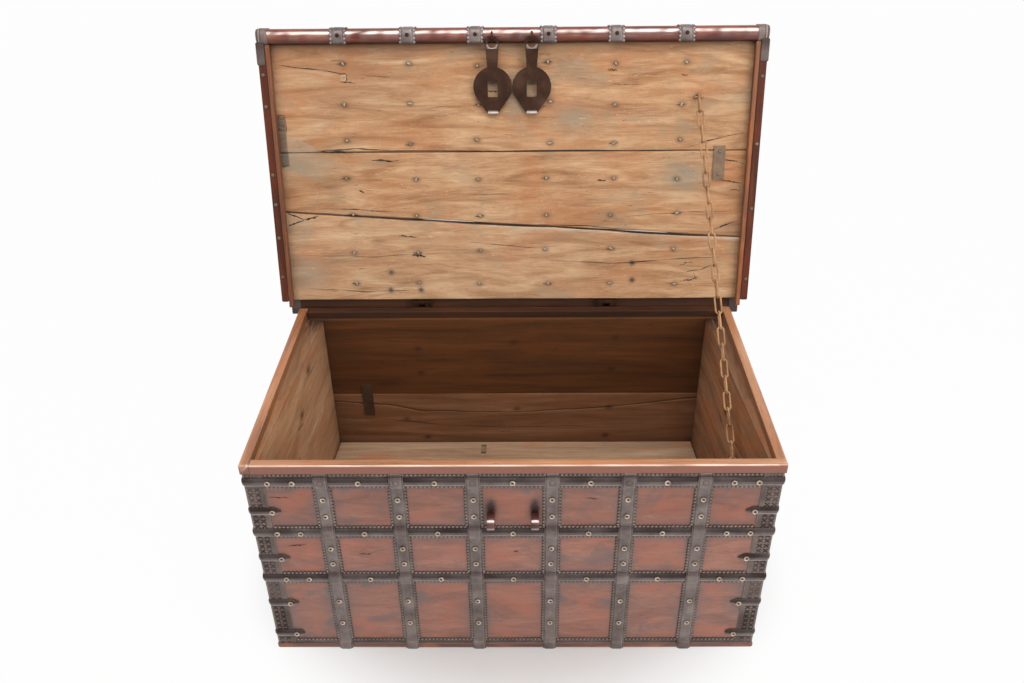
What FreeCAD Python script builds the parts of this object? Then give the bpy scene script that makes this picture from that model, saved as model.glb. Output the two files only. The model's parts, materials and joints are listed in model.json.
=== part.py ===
import FreeCAD, Part
import math
import os
import Sketcher
from FreeCAD import Placement, Rotation, Vector

# Iron-bound coffer chest with its lid open. Millimetres, +X to the right, +Y to the back, +Z up,
# origin at the centre of the base board's underside. The lid is drawn shut, in a frame of its own
# that lies on the hinge axis, and that frame is then turned back to the open position.

doc = FreeCAD.newDocument("coffer_chest")
sheet = doc.addObject("Spreadsheet::Sheet", "dims")

# Driving dimensions: name, millimetres or degrees, what it is
DIMENSIONS = [
    ("body_width", 960, "over the rim, left to right"),
    ("body_depth", 540, "over the rim, front to back"),
    ("body_height", 480, "floor to top of rim"),
    ("base_thickness", 13, "base board"),
    ("rim_height", 16, "rim strips"),
    ("rim_width", 18, "rim strips"),
    ("board_setback", 4, "wall boards behind the rim's outer face"),
    ("front_board", 24, "front wall boards, thickness"),
    ("back_board", 20, "back wall boards, thickness"),
    ("end_front", 20, "end boards, thickness at the front"),
    ("end_back", 51, "end boards, thickness at the back"),
    ("end_split", 292, "height of the seam in the end walls"),
    ("back_seam_low", 216, "height of the lower seam in the back wall"),
    ("back_seam_high", 260, "height of the upper seam in the back wall"),
    ("floor_height", 115, "top of the inner floor"),
    ("floor_thickness", 20, "inner floor boards"),
    ("floor_strip", 24, "narrow floor board along the back wall"),
    ("bearer_width", 30, "bearers under the inner floor"),
    ("bearer_height", 25, "bearers under the inner floor"),
    ("backing", 1.2, "thickness of toothed strips and corner plates"),
    ("band_top_z", 441, "centre height of the top band"),
    ("band_middle_z", 319, "centre height of the middle band"),
    ("band_low_z", 200, "centre height of the low band"),
    ("band_height", 19, "cambered bands"),
    ("band_thickness", 4, "cambered bands at the crown"),
    ("band_round", 3, "rounding of the bands' edges"),
    ("band_return", 64, "length of each band on the back wall"),
    ("tooth_depth", 4.5, "teeth of the backing strips"),
    ("tooth_pitch", 6, "teeth of the backing strips"),
    ("foot_strip", 13, "toothed strip along the foot, height"),
    ("strap_width", 26, "vertical straps"),
    ("strap_thickness", 3, "vertical straps"),
    ("strap_ramp", 4, "run-up of a strap onto a band"),
    ("strap_near", 70.5, "first strap from the middle"),
    ("strap_mid", 206, "second strap from the middle"),
    ("strap_far", 340, "third strap from the middle"),
    ("strap_side", 110, "end-wall straps from the middle"),
    ("strap_top", 461, "top of the vertical straps"),
    ("plate_width", 36, "corner plates, each way from the corner"),
    ("cross_pitch", 12, "pierced crosses in the corner plates"),
    ("cross_size", 8.5, "pierced crosses, tip to tip"),
    ("cross_bar", 2.4, "pierced crosses, bar width"),
    ("clip_length", 57, "corner clips from the corner to the point"),
    ("clip_point", 12, "length of a clip's point"),
    ("clip_height", 18, "corner clips"),
    ("clip_thickness", 3, "corner clips"),
    ("clip_1_z", 43, "lowest corner clip"),
    ("clip_2_z", 131, "second corner clip"),
    ("clip_3_z", 253, "third corner clip"),
    ("clip_4_z", 371, "top corner clip"),
    ("stud_radius", 5.5, "brass studs"),
    ("stud_height", 3.4, "brass studs"),
    ("hasp_spacing", 80, "between the two hasps"),
    ("staple_z", 352, "centre height of the front staples"),
    ("staple_height", 26, "front staples"),
    ("staple_reach", 27, "front staples, out from the boards"),
    ("staple_width", 14, "front staples"),
    ("staple_thickness", 4.5, "front staples"),
    ("open_angle", 102.5, "lid from shut to open"),
    ("hinge_back", 9, "hinge axis behind the back of the rim"),
    ("hinge_rise", 9, "hinge axis above the rim"),
    ("knuckle_radius", 6, "hinge knuckles"),
    ("pin_radius", 3, "hinge pins"),
    ("hinge_clearance", 0.05, "pin in its knuckles, radial"),
    ("knuckle_gap", 0.3, "between knuckles"),
    ("leaf_width", 40, "hinge leaves"),
    ("leaf_drop", 110, "hinge leaf down the back wall"),
    ("leaf_thickness", 3, "hinge leaves"),
    ("lid_knuckle", 14, "length of the lid's knuckle"),
    ("lid_clearance", 1, "planks above the rim, shut"),
    ("lid_front_gap", 3, "front rail in front of the rim, shut"),
    ("lid_side_gap", 10, "liners outside the rim, shut"),
    ("lid_back_gap", 9, "planks short of the hinge axis"),
    ("lid_plank", 24, "lid planks, thickness"),
    ("lid_lip", 16, "rails below the underside of the planks"),
    ("front_rail", 30, "round-nosed front rail, depth"),
    ("rail_round", 10, "rounding of the front rail"),
    ("side_rail", 15, "side rails, width"),
    ("liner_width", 9, "inner liner strips"),
    ("liner_setback", 2, "liners behind the rails' face"),
    ("liner_tail", 4, "liners past the hinge axis"),
    ("back_rail_tail", 26, "back rail behind the hinge axis"),
    ("back_rail_thickness", 8, "back rail"),
    ("seam_gap", 1.5, "open seam between lid planks"),
    ("lid_seam_front", 334, "front seam from the hinge axis"),
    ("lid_seam_left", 208, "back seam at the left, from the hinge axis"),
    ("lid_seam_right", 147, "back seam at the right, from the hinge axis"),
    ("lid_strap_thickness", 2.5, "straps and caps on the lid"),
    ("lid_strap_near", 73.5, "first lid strap from the middle"),
    ("lid_strap_mid", 210, "second lid strap from the middle"),
    ("lid_strap_far", 350, "third lid strap from the middle"),
    ("cap_width", 20, "front corner caps along the front rail"),
    ("cap_length", 76, "front corner caps along the side rail"),
    ("back_cap_width", 21, "back corner caps along the back rail"),
    ("nail_radius", 3.5, "domed nails"),
    ("nail_height", 2, "domed nails"),
    ("mend_width", 24, "mending plates"),
    ("mend_thickness", 2.5, "mending plates"),
    ("lid_mend_x", 434, "lid mending plate, from the middle"),
    ("lid_mend_from_hinge", 308, "lid mending plate, from the hinge axis"),
    ("lid_mend_length", 71, "lid mending plate"),
    ("back_mend_x", -345, "back-wall mending plate, from the middle"),
    ("back_mend_z", 243, "back-wall mending plate, height"),
    ("back_mend_length", 86, "back-wall mending plate"),
    ("eye_from_hinge", 565, "hasp eyes from the hinge axis"),
    ("eye_radius", 8, "hasp eye, to the middle of its wire"),
    ("eye_wire", 2.2, "hasp eye wire, radius"),
    ("eye_standoff", 6, "middle of the hasp eye from the rail"),
    ("hasp_thickness", 4, "hasps"),
    ("hasp_hole", 8.8, "hole for the eye, radius"),
    ("hasp_rim", 5.5, "iron round the hole"),
    ("hasp_drop", 2.3, "rim of the hole below the middle of the eye"),
    ("hasp_neck", 24, "neck width"),
    ("hasp_disc", 39.5, "disc radius"),
    ("hasp_disc_drop", 99, "disc below the eye"),
    ("hasp_tip_drop", 152, "tip below the eye"),
    ("hasp_tip", 22, "tip width"),
    ("hasp_slot_width", 23, "slot for the staple"),
    ("hasp_slot_height", 37, "slot for the staple"),
    ("hasp_slot_drop", 103, "middle of the slot below the eye"),
    ("hasp_tab", 8, "turned-out tab at the tip"),
    ("hasp_rest", 7, "degrees between a hasp and the planks it leans on"),
    ("chain_x", 381, "chain eye from the middle"),
    ("chain_from_hinge", 444, "chain eye from the hinge axis"),
    ("chain_standoff", 14, "chain eye below the planks"),
    ("chain_end_x", 430, "lower end of the chain from the middle"),
    ("chain_end_y", -138, "aim of the lower end of the chain"),
    ("chain_end_z", 329, "aim of the lower end of the chain"),
    ("link_length", 32.3, "links, inside length"),
    ("link_width", 8, "links, inside width"),
    ("link_wire", 2, "links, wire radius"),
    ("link_play", 0.3, "slack between neighbouring links"),
    ("anchor_gap", 0.4, "chain end beside its staple"),
]

for row, (name, number, note) in enumerate(DIMENSIONS, start=1):
    sheet.set(f"A{row}", name)
    sheet.set(f"B{row}", str(number))
    sheet.set(f"C{row}", note)
    sheet.setAlias(f"B{row}", name)
doc.recompute()


class Size:
    """A length that carries its number and the spreadsheet formula that gives it."""

    def __init__(self, number, formula):
        self.number = number
        self.formula = formula

    def combine(self, other, sign, number):
        return Size(number, f"({self.formula} {sign} {size(other).formula})")

    def __add__(self, other):
        return self.combine(other, "+", self.number + size(other).number)

    def __sub__(self, other):
        return self.combine(other, "-", self.number - size(other).number)

    def __mul__(self, other):
        return self.combine(other, "*", self.number * size(other).number)

    def __truediv__(self, other):
        return self.combine(other, "/", self.number / size(other).number)

    def __neg__(self):
        return Size(-self.number, f"(0 - {self.formula})")

    def __radd__(self, other):
        return size(other) + self

    def __rsub__(self, other):
        return size(other) - self

    def __rmul__(self, other):
        return size(other) * self


def size(value):
    """Any number as a Size."""
    return value if isinstance(value, Size) else Size(float(value), f"({float(value)})")


def cell(name):
    """A driving dimension, read back from the spreadsheet."""
    return Size(float(sheet.get(name)), f"dims.{name}")


class Dims:
    """The driving dimensions by name."""


dim = Dims()
for name, number, note in DIMENSIONS:
    setattr(dim, name, cell(name))

# Planes and levels that several pieces share
half_width = dim.body_width / 2
half_depth = dim.body_depth / 2
rim_bottom = dim.body_height - dim.rim_height
side_face = half_width - dim.board_setback          # outer face of the end boards
front_face = half_depth - dim.board_setback         # outer face of the front and back boards
front_inside = front_face - dim.front_board
back_inside = front_face - dim.back_board
end_inside_front = side_face - dim.end_front
end_inside_back = side_face - dim.end_back
band_levels = [dim.band_low_z, dim.band_middle_z, dim.band_top_z]
strap_places = [dim.strap_near, dim.strap_mid, dim.strap_far]
lid_strap_places = [dim.lid_strap_near, dim.lid_strap_mid, dim.lid_strap_far]
clip_levels = [dim.clip_1_z, dim.clip_2_z, dim.clip_3_z, dim.clip_4_z]
both_sides = (-1, 1)

# Hinge axis, and levels in the lid's own frame, which is measured from that axis with the lid shut
hinge_y = half_depth + dim.hinge_back
hinge_z = dim.body_height + dim.hinge_rise
lid_under = dim.lid_clearance - dim.hinge_rise              # underside of the planks
lid_top = lid_under + dim.lid_plank
lid_face = lid_under - dim.lid_lip                          # lip face of the rails
rail_inner = -(hinge_y + half_depth + dim.lid_front_gap)    # inner face of the front rail
rail_outer = rail_inner - dim.front_rail
liner_inner = half_width + dim.lid_side_gap
side_inner = liner_inner + dim.liner_width
side_outer = side_inner + dim.side_rail
lid_back = -dim.lid_back_gap
back_rail_under = lid_top - dim.back_rail_thickness
cos_open = Size(math.cos(math.radians(dim.open_angle.number)), "cos(dims.open_angle)")
sin_open = Size(math.sin(math.radians(dim.open_angle.number)), "sin(dims.open_angle)")

nodes = {}


def bind(obj, prop, value):
    """Tie a property to its spreadsheet formula."""
    obj.setExpression(prop, size(value).formula)


def move(obj, place):
    """Bind an object's position to three sizes."""
    for axis, value in zip("xyz", place):
        bind(obj, f"Placement.Base.{axis}", value)
    return obj


def lid_point(place):
    """A point of the shut lid's frame, turned to where the open lid has it."""
    x, y, z = (size(value) for value in place)
    return (x, hinge_y + y * cos_open + z * sin_open, hinge_z - y * sin_open + z * cos_open)


def move_on_lid(obj, place=(0, 0, 0)):
    """Stand an object in the lid's frame at the given point, turned with the open lid."""
    obj.Placement = Placement(Vector(), Rotation(Vector(1, 0, 0), -dim.open_angle.number))
    bind(obj, "Placement.Rotation.Angle", -dim.open_angle)
    return move(obj, lid_point(place))


def vector(place):
    """Three sizes as a plain vector."""
    return Vector(*(size(value).number for value in place))


def lid_placement():
    """The lid frame's own position, for shapes that are worked out in that frame."""
    return Placement(vector(lid_point((0, 0, 0))), Rotation(Vector(1, 0, 0), -dim.open_angle.number))


def keep(label, obj):
    """Name a finished sub-part."""
    obj.Label = label
    nodes[label] = obj
    return obj


def block(name, low, high, mover=move):
    """A straight-sided piece between two corners."""
    box = doc.addObject("Part::Box", name)
    for prop, start, end in zip(("Length", "Width", "Height"), low, high):
        bind(box, prop, size(end) - start)
    return mover(box, low)


def rod_across(name, radius, length, place):
    """A round bar along X from a point."""
    bar = doc.addObject("Part::Cylinder", name)
    bind(bar, "Radius", radius)
    bind(bar, "Height", length)
    bar.Placement = Placement(Vector(), Rotation(Vector(0, 1, 0), 90))
    return move(bar, place)


def rod_up(name, radius, length, place, mover=move):
    """A round bar along Z from a point."""
    bar = doc.addObject("Part::Cylinder", name)
    bind(bar, "Radius", radius)
    bind(bar, "Height", length)
    return mover(bar, place)


def gather(name, members):
    """Several pieces of one kind as one sub-part."""
    group = doc.addObject("Part::Compound", name)
    group.Links = members
    return group


def fuse(name, members):
    """Pieces forged into one solid."""
    joined = doc.addObject("Part::MultiFuse", name)
    joined.Shapes = members
    return joined


def cut(name, base, tool):
    """One piece with another's space taken out of it."""
    rest = doc.addObject("Part::Cut", name)
    rest.Base = base
    rest.Tool = tool
    return rest


def mirror(name, source, normal):
    """A left-for-right or front-for-back copy."""
    copy = doc.addObject("Part::Mirroring", name)
    copy.Source = source
    copy.Normal = normal
    return copy


def solid_feature(name, shape):
    """A piece whose shape is worked out here."""
    feature = doc.addObject("Part::Feature", name)
    feature.Shape = shape
    return feature


def sketch_on(body, role, name):
    """A sketch on one of the body's own origin planes."""
    sketch = body.newObject("Sketcher::SketchObject", f"{body.Name}_{name}")
    plane = next(item for item in body.Origin.OriginFeatures if item.Role == role)
    sketch.AttachmentSupport = (plane, [""])
    sketch.MapMode = "FlatFace"
    return sketch


def pin_down(sketch, line, point, place):
    """Bind one end of a line to two sizes measured from the sketch's origin."""
    for kind, value in zip(("DistanceX", "DistanceY"), place):
        index = sketch.addConstraint(Sketcher.Constraint(kind, -1, 1, line, point, size(value).number))
        sketch.setExpression(f"Constraints[{index}]", size(value).formula)


def draw(sketch, corners):
    """A closed straight-sided outline with every corner bound."""
    first = sketch.GeometryCount
    flat = [Vector(size(a).number, size(b).number, 0) for a, b in corners]
    for index, start in enumerate(flat):
        sketch.addGeometry(Part.LineSegment(start, flat[(index + 1) % len(flat)]), False)
    for index in range(len(flat)):
        after = (index + 1) % len(flat)
        sketch.addConstraint(Sketcher.Constraint("Coincident", first + index, 2, first + after, 1))
    for index, corner in enumerate(corners):
        pin_down(sketch, first + index, 1, corner)


def draw_circle(sketch, centre, radius):
    """A bound circle."""
    start = Vector(size(centre[0]).number, size(centre[1]).number, 0)
    ring = sketch.addGeometry(Part.Circle(start, Vector(0, 0, 1), size(radius).number), False)
    pin_down(sketch, ring, 3, centre)
    index = sketch.addConstraint(Sketcher.Constraint("Radius", ring, size(radius).number))
    sketch.setExpression(f"Constraints[{index}]", size(radius).formula)


def pad(body, sketch, depth, reverse=False):
    """Give a sketch its thickness."""
    feature = body.newObject("PartDesign::Pad", f"{sketch.Name}_pad")
    feature.Profile = sketch
    feature.Reversed = reverse
    bind(feature, "Length", depth)
    return feature


def profile_body(name, role, corners, depth, reverse=False):
    """A body made of one outline and one thickness."""
    body = doc.addObject("PartDesign::Body", name)
    sketch = sketch_on(body, role, "outline")
    draw(sketch, corners)
    pad(body, sketch, depth, reverse)
    return body


def round_edges(body, chosen, radius):
    """Round the edges of a body's tip that the test picks."""
    doc.recompute()
    base = body.Tip
    names = [f"Edge{i}" for i, edge in enumerate(base.Shape.Edges, start=1) if chosen(edge)]
    feature = body.newObject("PartDesign::Fillet", f"{body.Name}_round")
    feature.Base = (base, names)
    bind(feature, "Radius", radius)
    return feature


def inside_at(y):
    """How far from the middle the inner faces of the end boards are at a depth."""
    share = (size(y) + front_inside) / (back_inside + front_inside)
    return end_inside_front + (end_inside_back - end_inside_front) * share


def flat_board(name, corners, low, high):
    """A board with a straight-sided outline seen from above."""
    body = profile_body(name, "XY_Plane", corners, size(high) - low)
    return move(body, (0, 0, low))


def board_between_ends(name, front, back, low, high):
    """A board that reaches from one end wall to the other."""
    return flat_board(name, [(-inside_at(front), front), (inside_at(front), front),
                             (inside_at(back), back), (-inside_at(back), back)], low, high)


def make_carcass():
    """Base, walls, inner floor and rim strips."""
    keep("base_board", block("base_board", (-half_width, -half_depth, 0),
                             (half_width, half_depth, dim.base_thickness)))
    front_levels = [dim.base_thickness, dim.band_low_z, dim.band_middle_z, rim_bottom]
    back_levels = [dim.base_thickness, dim.back_seam_low, dim.back_seam_high, rim_bottom]
    for index, which in enumerate(("bottom", "middle", "top")):
        label = f"front_board_{which}"
        keep(label, block(label, (-side_face, -front_face, front_levels[index]),
                          (side_face, -front_inside, front_levels[index + 1])))
        label = f"back_board_{which}"
        keep(label, block(label, (-side_face, back_inside, back_levels[index]),
                          (side_face, front_face, back_levels[index + 1])))
    parts = (("lower", dim.base_thickness, dim.end_split), ("upper", dim.end_split, rim_bottom))
    for which, low, high in parts:
        for hand, side in (("left", -1), ("right", 1)):
            label = f"end_{hand}_{which}"
            outline = [(side * side_face, -front_inside), (side * end_inside_front, -front_inside),
                       (side * end_inside_back, back_inside), (side * side_face, back_inside)]
            keep(label, flat_board(label, outline, low, high))

    floor_low = dim.floor_height - dim.floor_thickness
    strip = back_inside - dim.floor_strip
    floor = dim.floor_height
    keep("floor_board_front", board_between_ends("floor_board_front", -front_inside, strip, floor_low, floor))
    keep("floor_board_back", board_between_ends("floor_board_back", strip, back_inside, floor_low, floor))
    bearer_low = floor_low - dim.bearer_height
    bearers = [
        board_between_ends("bearer_front", -front_inside, dim.bearer_width - front_inside, bearer_low, floor_low),
        board_between_ends("bearer_back", back_inside - dim.bearer_width, back_inside, bearer_low, floor_low),
    ]
    keep("floor_bearers", gather("floor_bearers", bearers))

    inner_x = half_width - dim.rim_width
    inner_y = half_depth - dim.rim_width
    top = dim.body_height
    keep("rim_front", block("rim_front", (-inner_x, -half_depth, rim_bottom), (half_width, -inner_y, top)))
    keep("rim_left", block("rim_left", (-half_width, -half_depth, rim_bottom), (-inner_x, half_depth, top)))
    keep("rim_right", block("rim_right", (inner_x, -inner_y, rim_bottom), (half_width, half_depth, top)))
    keep("rim_back", block("rim_back", (-inner_x, inner_y, rim_bottom), (inner_x, half_depth, top)))

    half_mend = dim.mend_width / 2
    keep("mending_plate_back", block(
        "mending_plate_back",
        (dim.back_mend_x - half_mend, back_inside - dim.mend_thickness, dim.back_mend_z - dim.back_mend_length / 2),
        (dim.back_mend_x + half_mend, back_inside, dim.back_mend_z + dim.back_mend_length / 2)))


def make_band(label, level):
    """A cambered band round the front, both ends and a little of the back."""
    inner_x = side_face + dim.backing
    inner_y = front_face + dim.backing
    outer_x = inner_x + dim.band_thickness
    outer_y = inner_y + dim.band_thickness
    stop_x = outer_x - dim.band_return
    corners = [
        (-stop_x, inner_y), (-stop_x, outer_y), (-outer_x, outer_y), (-outer_x, -outer_y),
        (outer_x, -outer_y), (outer_x, outer_y), (stop_x, outer_y), (stop_x, inner_y),
        (inner_x, inner_y), (inner_x, -inner_y), (-inner_x, -inner_y), (-inner_x, inner_y),
    ]
    body = profile_body(label, "XY_Plane", corners, dim.band_height)
    move(body, (0, 0, level - dim.band_height / 2))

    def outer_edge(edge):
        low = edge.BoundBox
        wide = max(abs(low.XMin), abs(low.XMax))
        deep = max(abs(low.YMin), abs(low.YMax))
        flat_side = low.XLength < 0.01 and abs(wide - outer_x.number) < 0.01
        flat_front = low.YLength < 0.01 and abs(deep - outer_y.number) < 0.01
        stop_end = abs(min(abs(low.XMin), abs(low.XMax)) - stop_x.number) < 0.01 and low.XLength < 0.01
        return (flat_side or flat_front) and not stop_end

    round_edges(body, outer_edge, dim.band_round)
    keep(label, body)


def toothed_strip(length, height, teeth_below=True):
    """A flat strip along X from the origin, its long edges cut into teeth; the height is over the teeth."""
    count = max(1, round(length / dim.tooth_pitch.number))
    pitch = length / count
    depth = dim.tooth_depth.number
    shoulder = 0.35 * pitch
    upper = []
    lower = []
    for tooth in range(count):
        start = tooth * pitch
        upper += [(start, height - depth), (start + shoulder, height), (start + pitch - shoulder, height)]
        lower += [(start, depth), (start + shoulder, 0), (start + pitch - shoulder, 0)]
    upper.append((length, height - depth))
    lower.append((length, depth))
    bottom = lower if teeth_below else [(0, 0), (length, 0)]
    outline = [Vector(a, 0, b) for a, b in bottom + upper[::-1]]
    face = Part.Face(Part.makePolygon(outline + outline[:1]))
    return face.extrude(Vector(0, -dim.backing.number, 0))


def on_wall(shape, wall, start, level):
    """Stand a strip that was drawn along X on the front (0), left end (-1) or right end (1)."""
    copy = shape.copy()
    turn = Rotation(Vector(0, 0, 1), 90 * wall)
    face = front_face.number if wall == 0 else side_face.number
    base = turn.multVec(Vector(start, -face, level))
    copy.Placement = Placement(base, turn)
    return copy


def make_backings():
    """Toothed strips under the bands, along the foot and under the vertical straps."""
    zone = dim.band_height + 2 * dim.tooth_depth
    front_half = side_face - dim.plate_width
    side_half = front_face - dim.plate_width
    strips = []
    for wall, half in ((0, front_half), (-1, side_half), (1, side_half)):
        strip = toothed_strip(2 * half.number, zone.number)
        strips += [on_wall(strip, wall, -half.number, (level - zone / 2).number) for level in band_levels]
        foot = toothed_strip(2 * half.number, dim.foot_strip.number, teeth_below=False)
        strips.append(on_wall(foot, wall, -half.number, dim.base_thickness.number))
    keep("band_backings", solid_feature("band_backings", Part.makeCompound(strips)))

    width = dim.strap_width + 2 * dim.tooth_depth
    bottoms = [dim.base_thickness + dim.foot_strip] + [level + zone / 2 for level in band_levels[:2]]
    tops = [level - zone / 2 for level in band_levels]
    uprights = []
    for low, high in zip(bottoms, tops):
        strip = toothed_strip((high - low).number, width.number)
        strip.rotate(Vector(), Vector(0, 1, 0), -90)
        places = [(0, side * place.number) for place in strap_places for side in both_sides]
        places += [(wall, side * dim.strap_side.number) for wall in both_sides for side in both_sides]
        for wall, middle in places:
            flat = strip.copy()
            flat.translate(Vector(width.number / 2, 0, 0))
            holder = Part.makeCompound([flat])
            uprights.append(on_wall(holder, wall, middle, low.number).Solids[0])
    keep("strap_backings", solid_feature("strap_backings", Part.makeCompound(uprights)))


def strap_outline():
    """Side view of a vertical strap: out from the boards to the front, up from the floor."""
    rest = dim.backing
    over = dim.backing + dim.band_thickness
    foot = dim.board_setback
    inside = [(foot, 0), (foot, dim.base_thickness + dim.strap_ramp / 2),
              (rest, dim.base_thickness + 2 * dim.strap_ramp)]
    for level in band_levels:
        low = level - dim.band_height / 2
        high = level + dim.band_height / 2
        inside += [(rest, low - dim.strap_ramp), (over, low - 0.5), (over, high + 0.5), (rest, high + dim.strap_ramp)]
    inside.append((rest, dim.strap_top))
    outside = [(out + dim.strap_thickness, level) for out, level in inside]
    return [(-out, level) for out, level in inside + outside[::-1]]


def make_strap(name, wall, middle):
    """One vertical strap on the front (0), left end (-1) or right end (1)."""
    body = profile_body(name, "YZ_Plane", strap_outline(), dim.strap_width)
    if wall:
        body.Placement = Placement(Vector(), Rotation(Vector(0, 0, 1), 90 * wall))
        return move(body, (wall * side_face, wall * (middle - dim.strap_width / 2), 0))
    return move(body, (middle - dim.strap_width / 2, -front_face, 0))


def make_straps():
    """Vertical straps on the front and on both ends."""
    front = [make_strap(f"front_strap_{index}_{side + 1}", 0, side * place)
             for index, place in enumerate(strap_places) for side in both_sides]
    keep("front_straps", gather("front_straps", front))
    ends = [make_strap(f"end_strap_{wall + 1}_{side + 1}", wall, side * dim.strap_side)
            for wall in both_sides for side in both_sides]
    keep("side_straps", gather("side_straps", ends))


def cross_punch():
    """A small upright bar crossed by another, both on the slant, as a punch along Y."""
    reach = dim.cross_size.number
    bar = dim.cross_bar.number
    stroke = 4 * dim.backing.number
    bars = [Part.makeBox(reach, stroke, bar, Vector(-reach / 2, -stroke / 2, -bar / 2)) for angle in both_sides]
    for bar_shape, angle in zip(bars, both_sides):
        bar_shape.rotate(Vector(), Vector(0, 1, 0), 45 * angle)
    return bars[0].fuse(bars[1])


def make_corner_plates():
    """Angle plates on the corners, pierced with rows of crosses between the bands and clips."""
    thick = dim.backing
    low = dim.base_thickness
    front_leg = block("corner_front_leg", (-side_face - thick, -front_face - thick, low),
                      (dim.plate_width - side_face, -front_face, rim_bottom))
    side_leg = block("corner_side_leg", (-side_face - thick, -front_face - thick, low),
                     (-side_face, dim.plate_width - front_face, rim_bottom))
    angle = fuse("corner_angle", [front_leg, side_leg])

    pitch = dim.cross_pitch.number
    covered = [(level, dim.band_height) for level in band_levels] + [(level, dim.clip_height) for level in clip_levels]
    rows = int((rim_bottom.number - low.number) / pitch)
    punch = cross_punch()
    punches = []
    for row in range(rows):
        level = low.number + pitch * (row + 0.8)
        if any(abs(level - mid.number) < (tall.number + pitch) / 2 for mid, tall in covered):
            continue
        for column in range(int(dim.plate_width.number / pitch)):
            inset = pitch * (column + 0.55)
            hole = punch.copy()
            hole.translate(Vector(inset - side_face.number, -front_face.number, level))
            punches.append(hole)
            hole = punch.copy()
            hole.rotate(Vector(), Vector(0, 0, 1), 90)
            hole.translate(Vector(-side_face.number, inset - front_face.number, level))
            punches.append(hole)
    tool = solid_feature("cross_punches", Part.makeCompound(punches))
    left = cut("corner_plate_left", angle, tool)
    right = mirror("corner_plate_right", left, (1, 0, 0))
    front = keep("corner_plates_front", gather("corner_plates_front", [left, right]))
    keep("corner_plates_back", mirror("corner_plates_back", front, (0, 1, 0)))


def make_corner_clips():
    """Short pointed clips bent round the corners, over the corner plates."""
    thick = dim.clip_thickness
    inner_x = side_face + dim.backing
    inner_y = front_face + dim.backing
    half = dim.clip_height / 2
    run = dim.clip_length - dim.clip_point

    def leg(start, end, shoulder):
        return [(start, -half), (shoulder, -half), (end, 0), (shoulder, half), (start, half)]

    clips = []
    for index, level in enumerate(clip_levels):
        body = doc.addObject("PartDesign::Body", f"corner_clip_{index}")
        front = sketch_on(body, "XZ_Plane", "front")
        draw(front, leg(-thick, dim.clip_length, run))
        pad(body, front, thick)
        side = sketch_on(body, "YZ_Plane", "side")
        draw(side, leg(-thick, dim.clip_length, run))
        pad(body, side, thick, reverse=True)
        clips.append(move(body, (-inner_x, -inner_y, level)))
    left = gather("corner_clips_left", clips)
    right = mirror("corner_clips_right", left, (1, 0, 0))
    front = keep("corner_clips_front", gather("corner_clips_front", [left, right]))
    keep("corner_clips_back", mirror("corner_clips_back", front, (0, 1, 0)))


def make_stud():
    """One brass stud on the origin, pointing up Z: a rolled ring with a sunk middle."""
    body = doc.addObject("PartDesign::Body", "stud_form")
    sketch = sketch_on(body, "XZ_Plane", "section")
    radius = dim.stud_radius
    tall = dim.stud_height
    draw(sketch, [(0, 0), (radius, 0), (radius, tall * 0.35), (radius * 0.8, tall * 0.85), (radius * 0.62, tall),
                  (radius * 0.42, tall * 0.85), (radius * 0.3, tall * 0.45), (0, tall * 0.4)])
    turn = body.newObject("PartDesign::Revolution", "stud_turn")
    turn.Profile = sketch
    turn.ReferenceAxis = (sketch, ["V_Axis"])
    turn.Angle = 360
    doc.recompute()
    return body.Shape


def make_studs():
    """Brass studs on the straps, the bands and the clips."""
    stud = make_stud()
    on_strap = dim.backing + dim.strap_thickness
    on_band = dim.backing + dim.band_thickness
    on_clip = dim.backing + dim.clip_thickness
    bays = [dim.base_thickness] + band_levels
    rows = []
    for low, high in zip(bays[:-1], bays[1:]):
        rows += [low + (high - low) * 0.34, low + (high - low) * 0.67]

    places = []
    edges = [-place for place in strap_places[::-1]] + strap_places
    panel_middles = [(left + right) / 2 for left, right in zip(edges[:-1], edges[1:])]
    end_panel = side_face - dim.strap_far
    outer = [side * (dim.strap_far + end_panel * share) for side in both_sides for share in (0.37, 0.69)]
    places += [(0, place * side, row, on_strap) for place in strap_places for side in both_sides for row in rows]
    places += [(0, middle, level, on_band) for middle in panel_middles + outer for level in band_levels]
    clip_stud = dim.clip_length - dim.clip_point
    places += [(0, side * (side_face - clip_stud * 0.9), level, on_clip) for side in both_sides for level in clip_levels]
    for wall in both_sides:
        places += [(wall, side * dim.strap_side, row, on_strap) for side in both_sides for row in rows]
        places += [(wall, share * dim.strap_side, level, on_band) for share in (-1.8, 0, 1.8) for level in band_levels]

    studs = []
    for wall, along, level, out in places:
        turn = Rotation(Vector(0, 0, 1), 90 * wall)
        face = side_face if wall else front_face
        spot = turn.multVec(Vector(size(along).number, -(face + out).number, size(level).number))
        copy = stud.copy()
        copy.Placement = Placement(spot, turn * Rotation(Vector(1, 0, 0), 90))
        studs.append(copy)
    keep("brass_studs", solid_feature("brass_studs", Part.makeCompound(studs)))


def make_front_staples():
    """Two strap staples that the hasps drop over."""
    tall = dim.staple_height / 2
    reach = dim.staple_reach
    thick = dim.staple_thickness
    bend = tall * 0.5
    staples = []
    for side in both_sides:
        outer = [(0, -tall), (bend - reach, -tall), (-reach, bend - tall), (-reach, tall - bend),
                 (bend - reach, tall), (0, tall)]
        inner = [(0, tall - thick), (bend - reach + thick * 0.4, tall - thick), (thick - reach, tall - bend),
                 (thick - reach, bend - tall), (bend - reach + thick * 0.4, thick - tall), (0, thick - tall)]
        body = profile_body(f"front_staple_{side + 1}", "YZ_Plane", outer + inner, dim.staple_width)
        middle = side * dim.hasp_spacing / 2
        staples.append(move(body, (middle - dim.staple_width / 2, -front_face, dim.staple_z)))
    keep("hasp_staples", gather("hasp_staples", staples))


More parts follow.
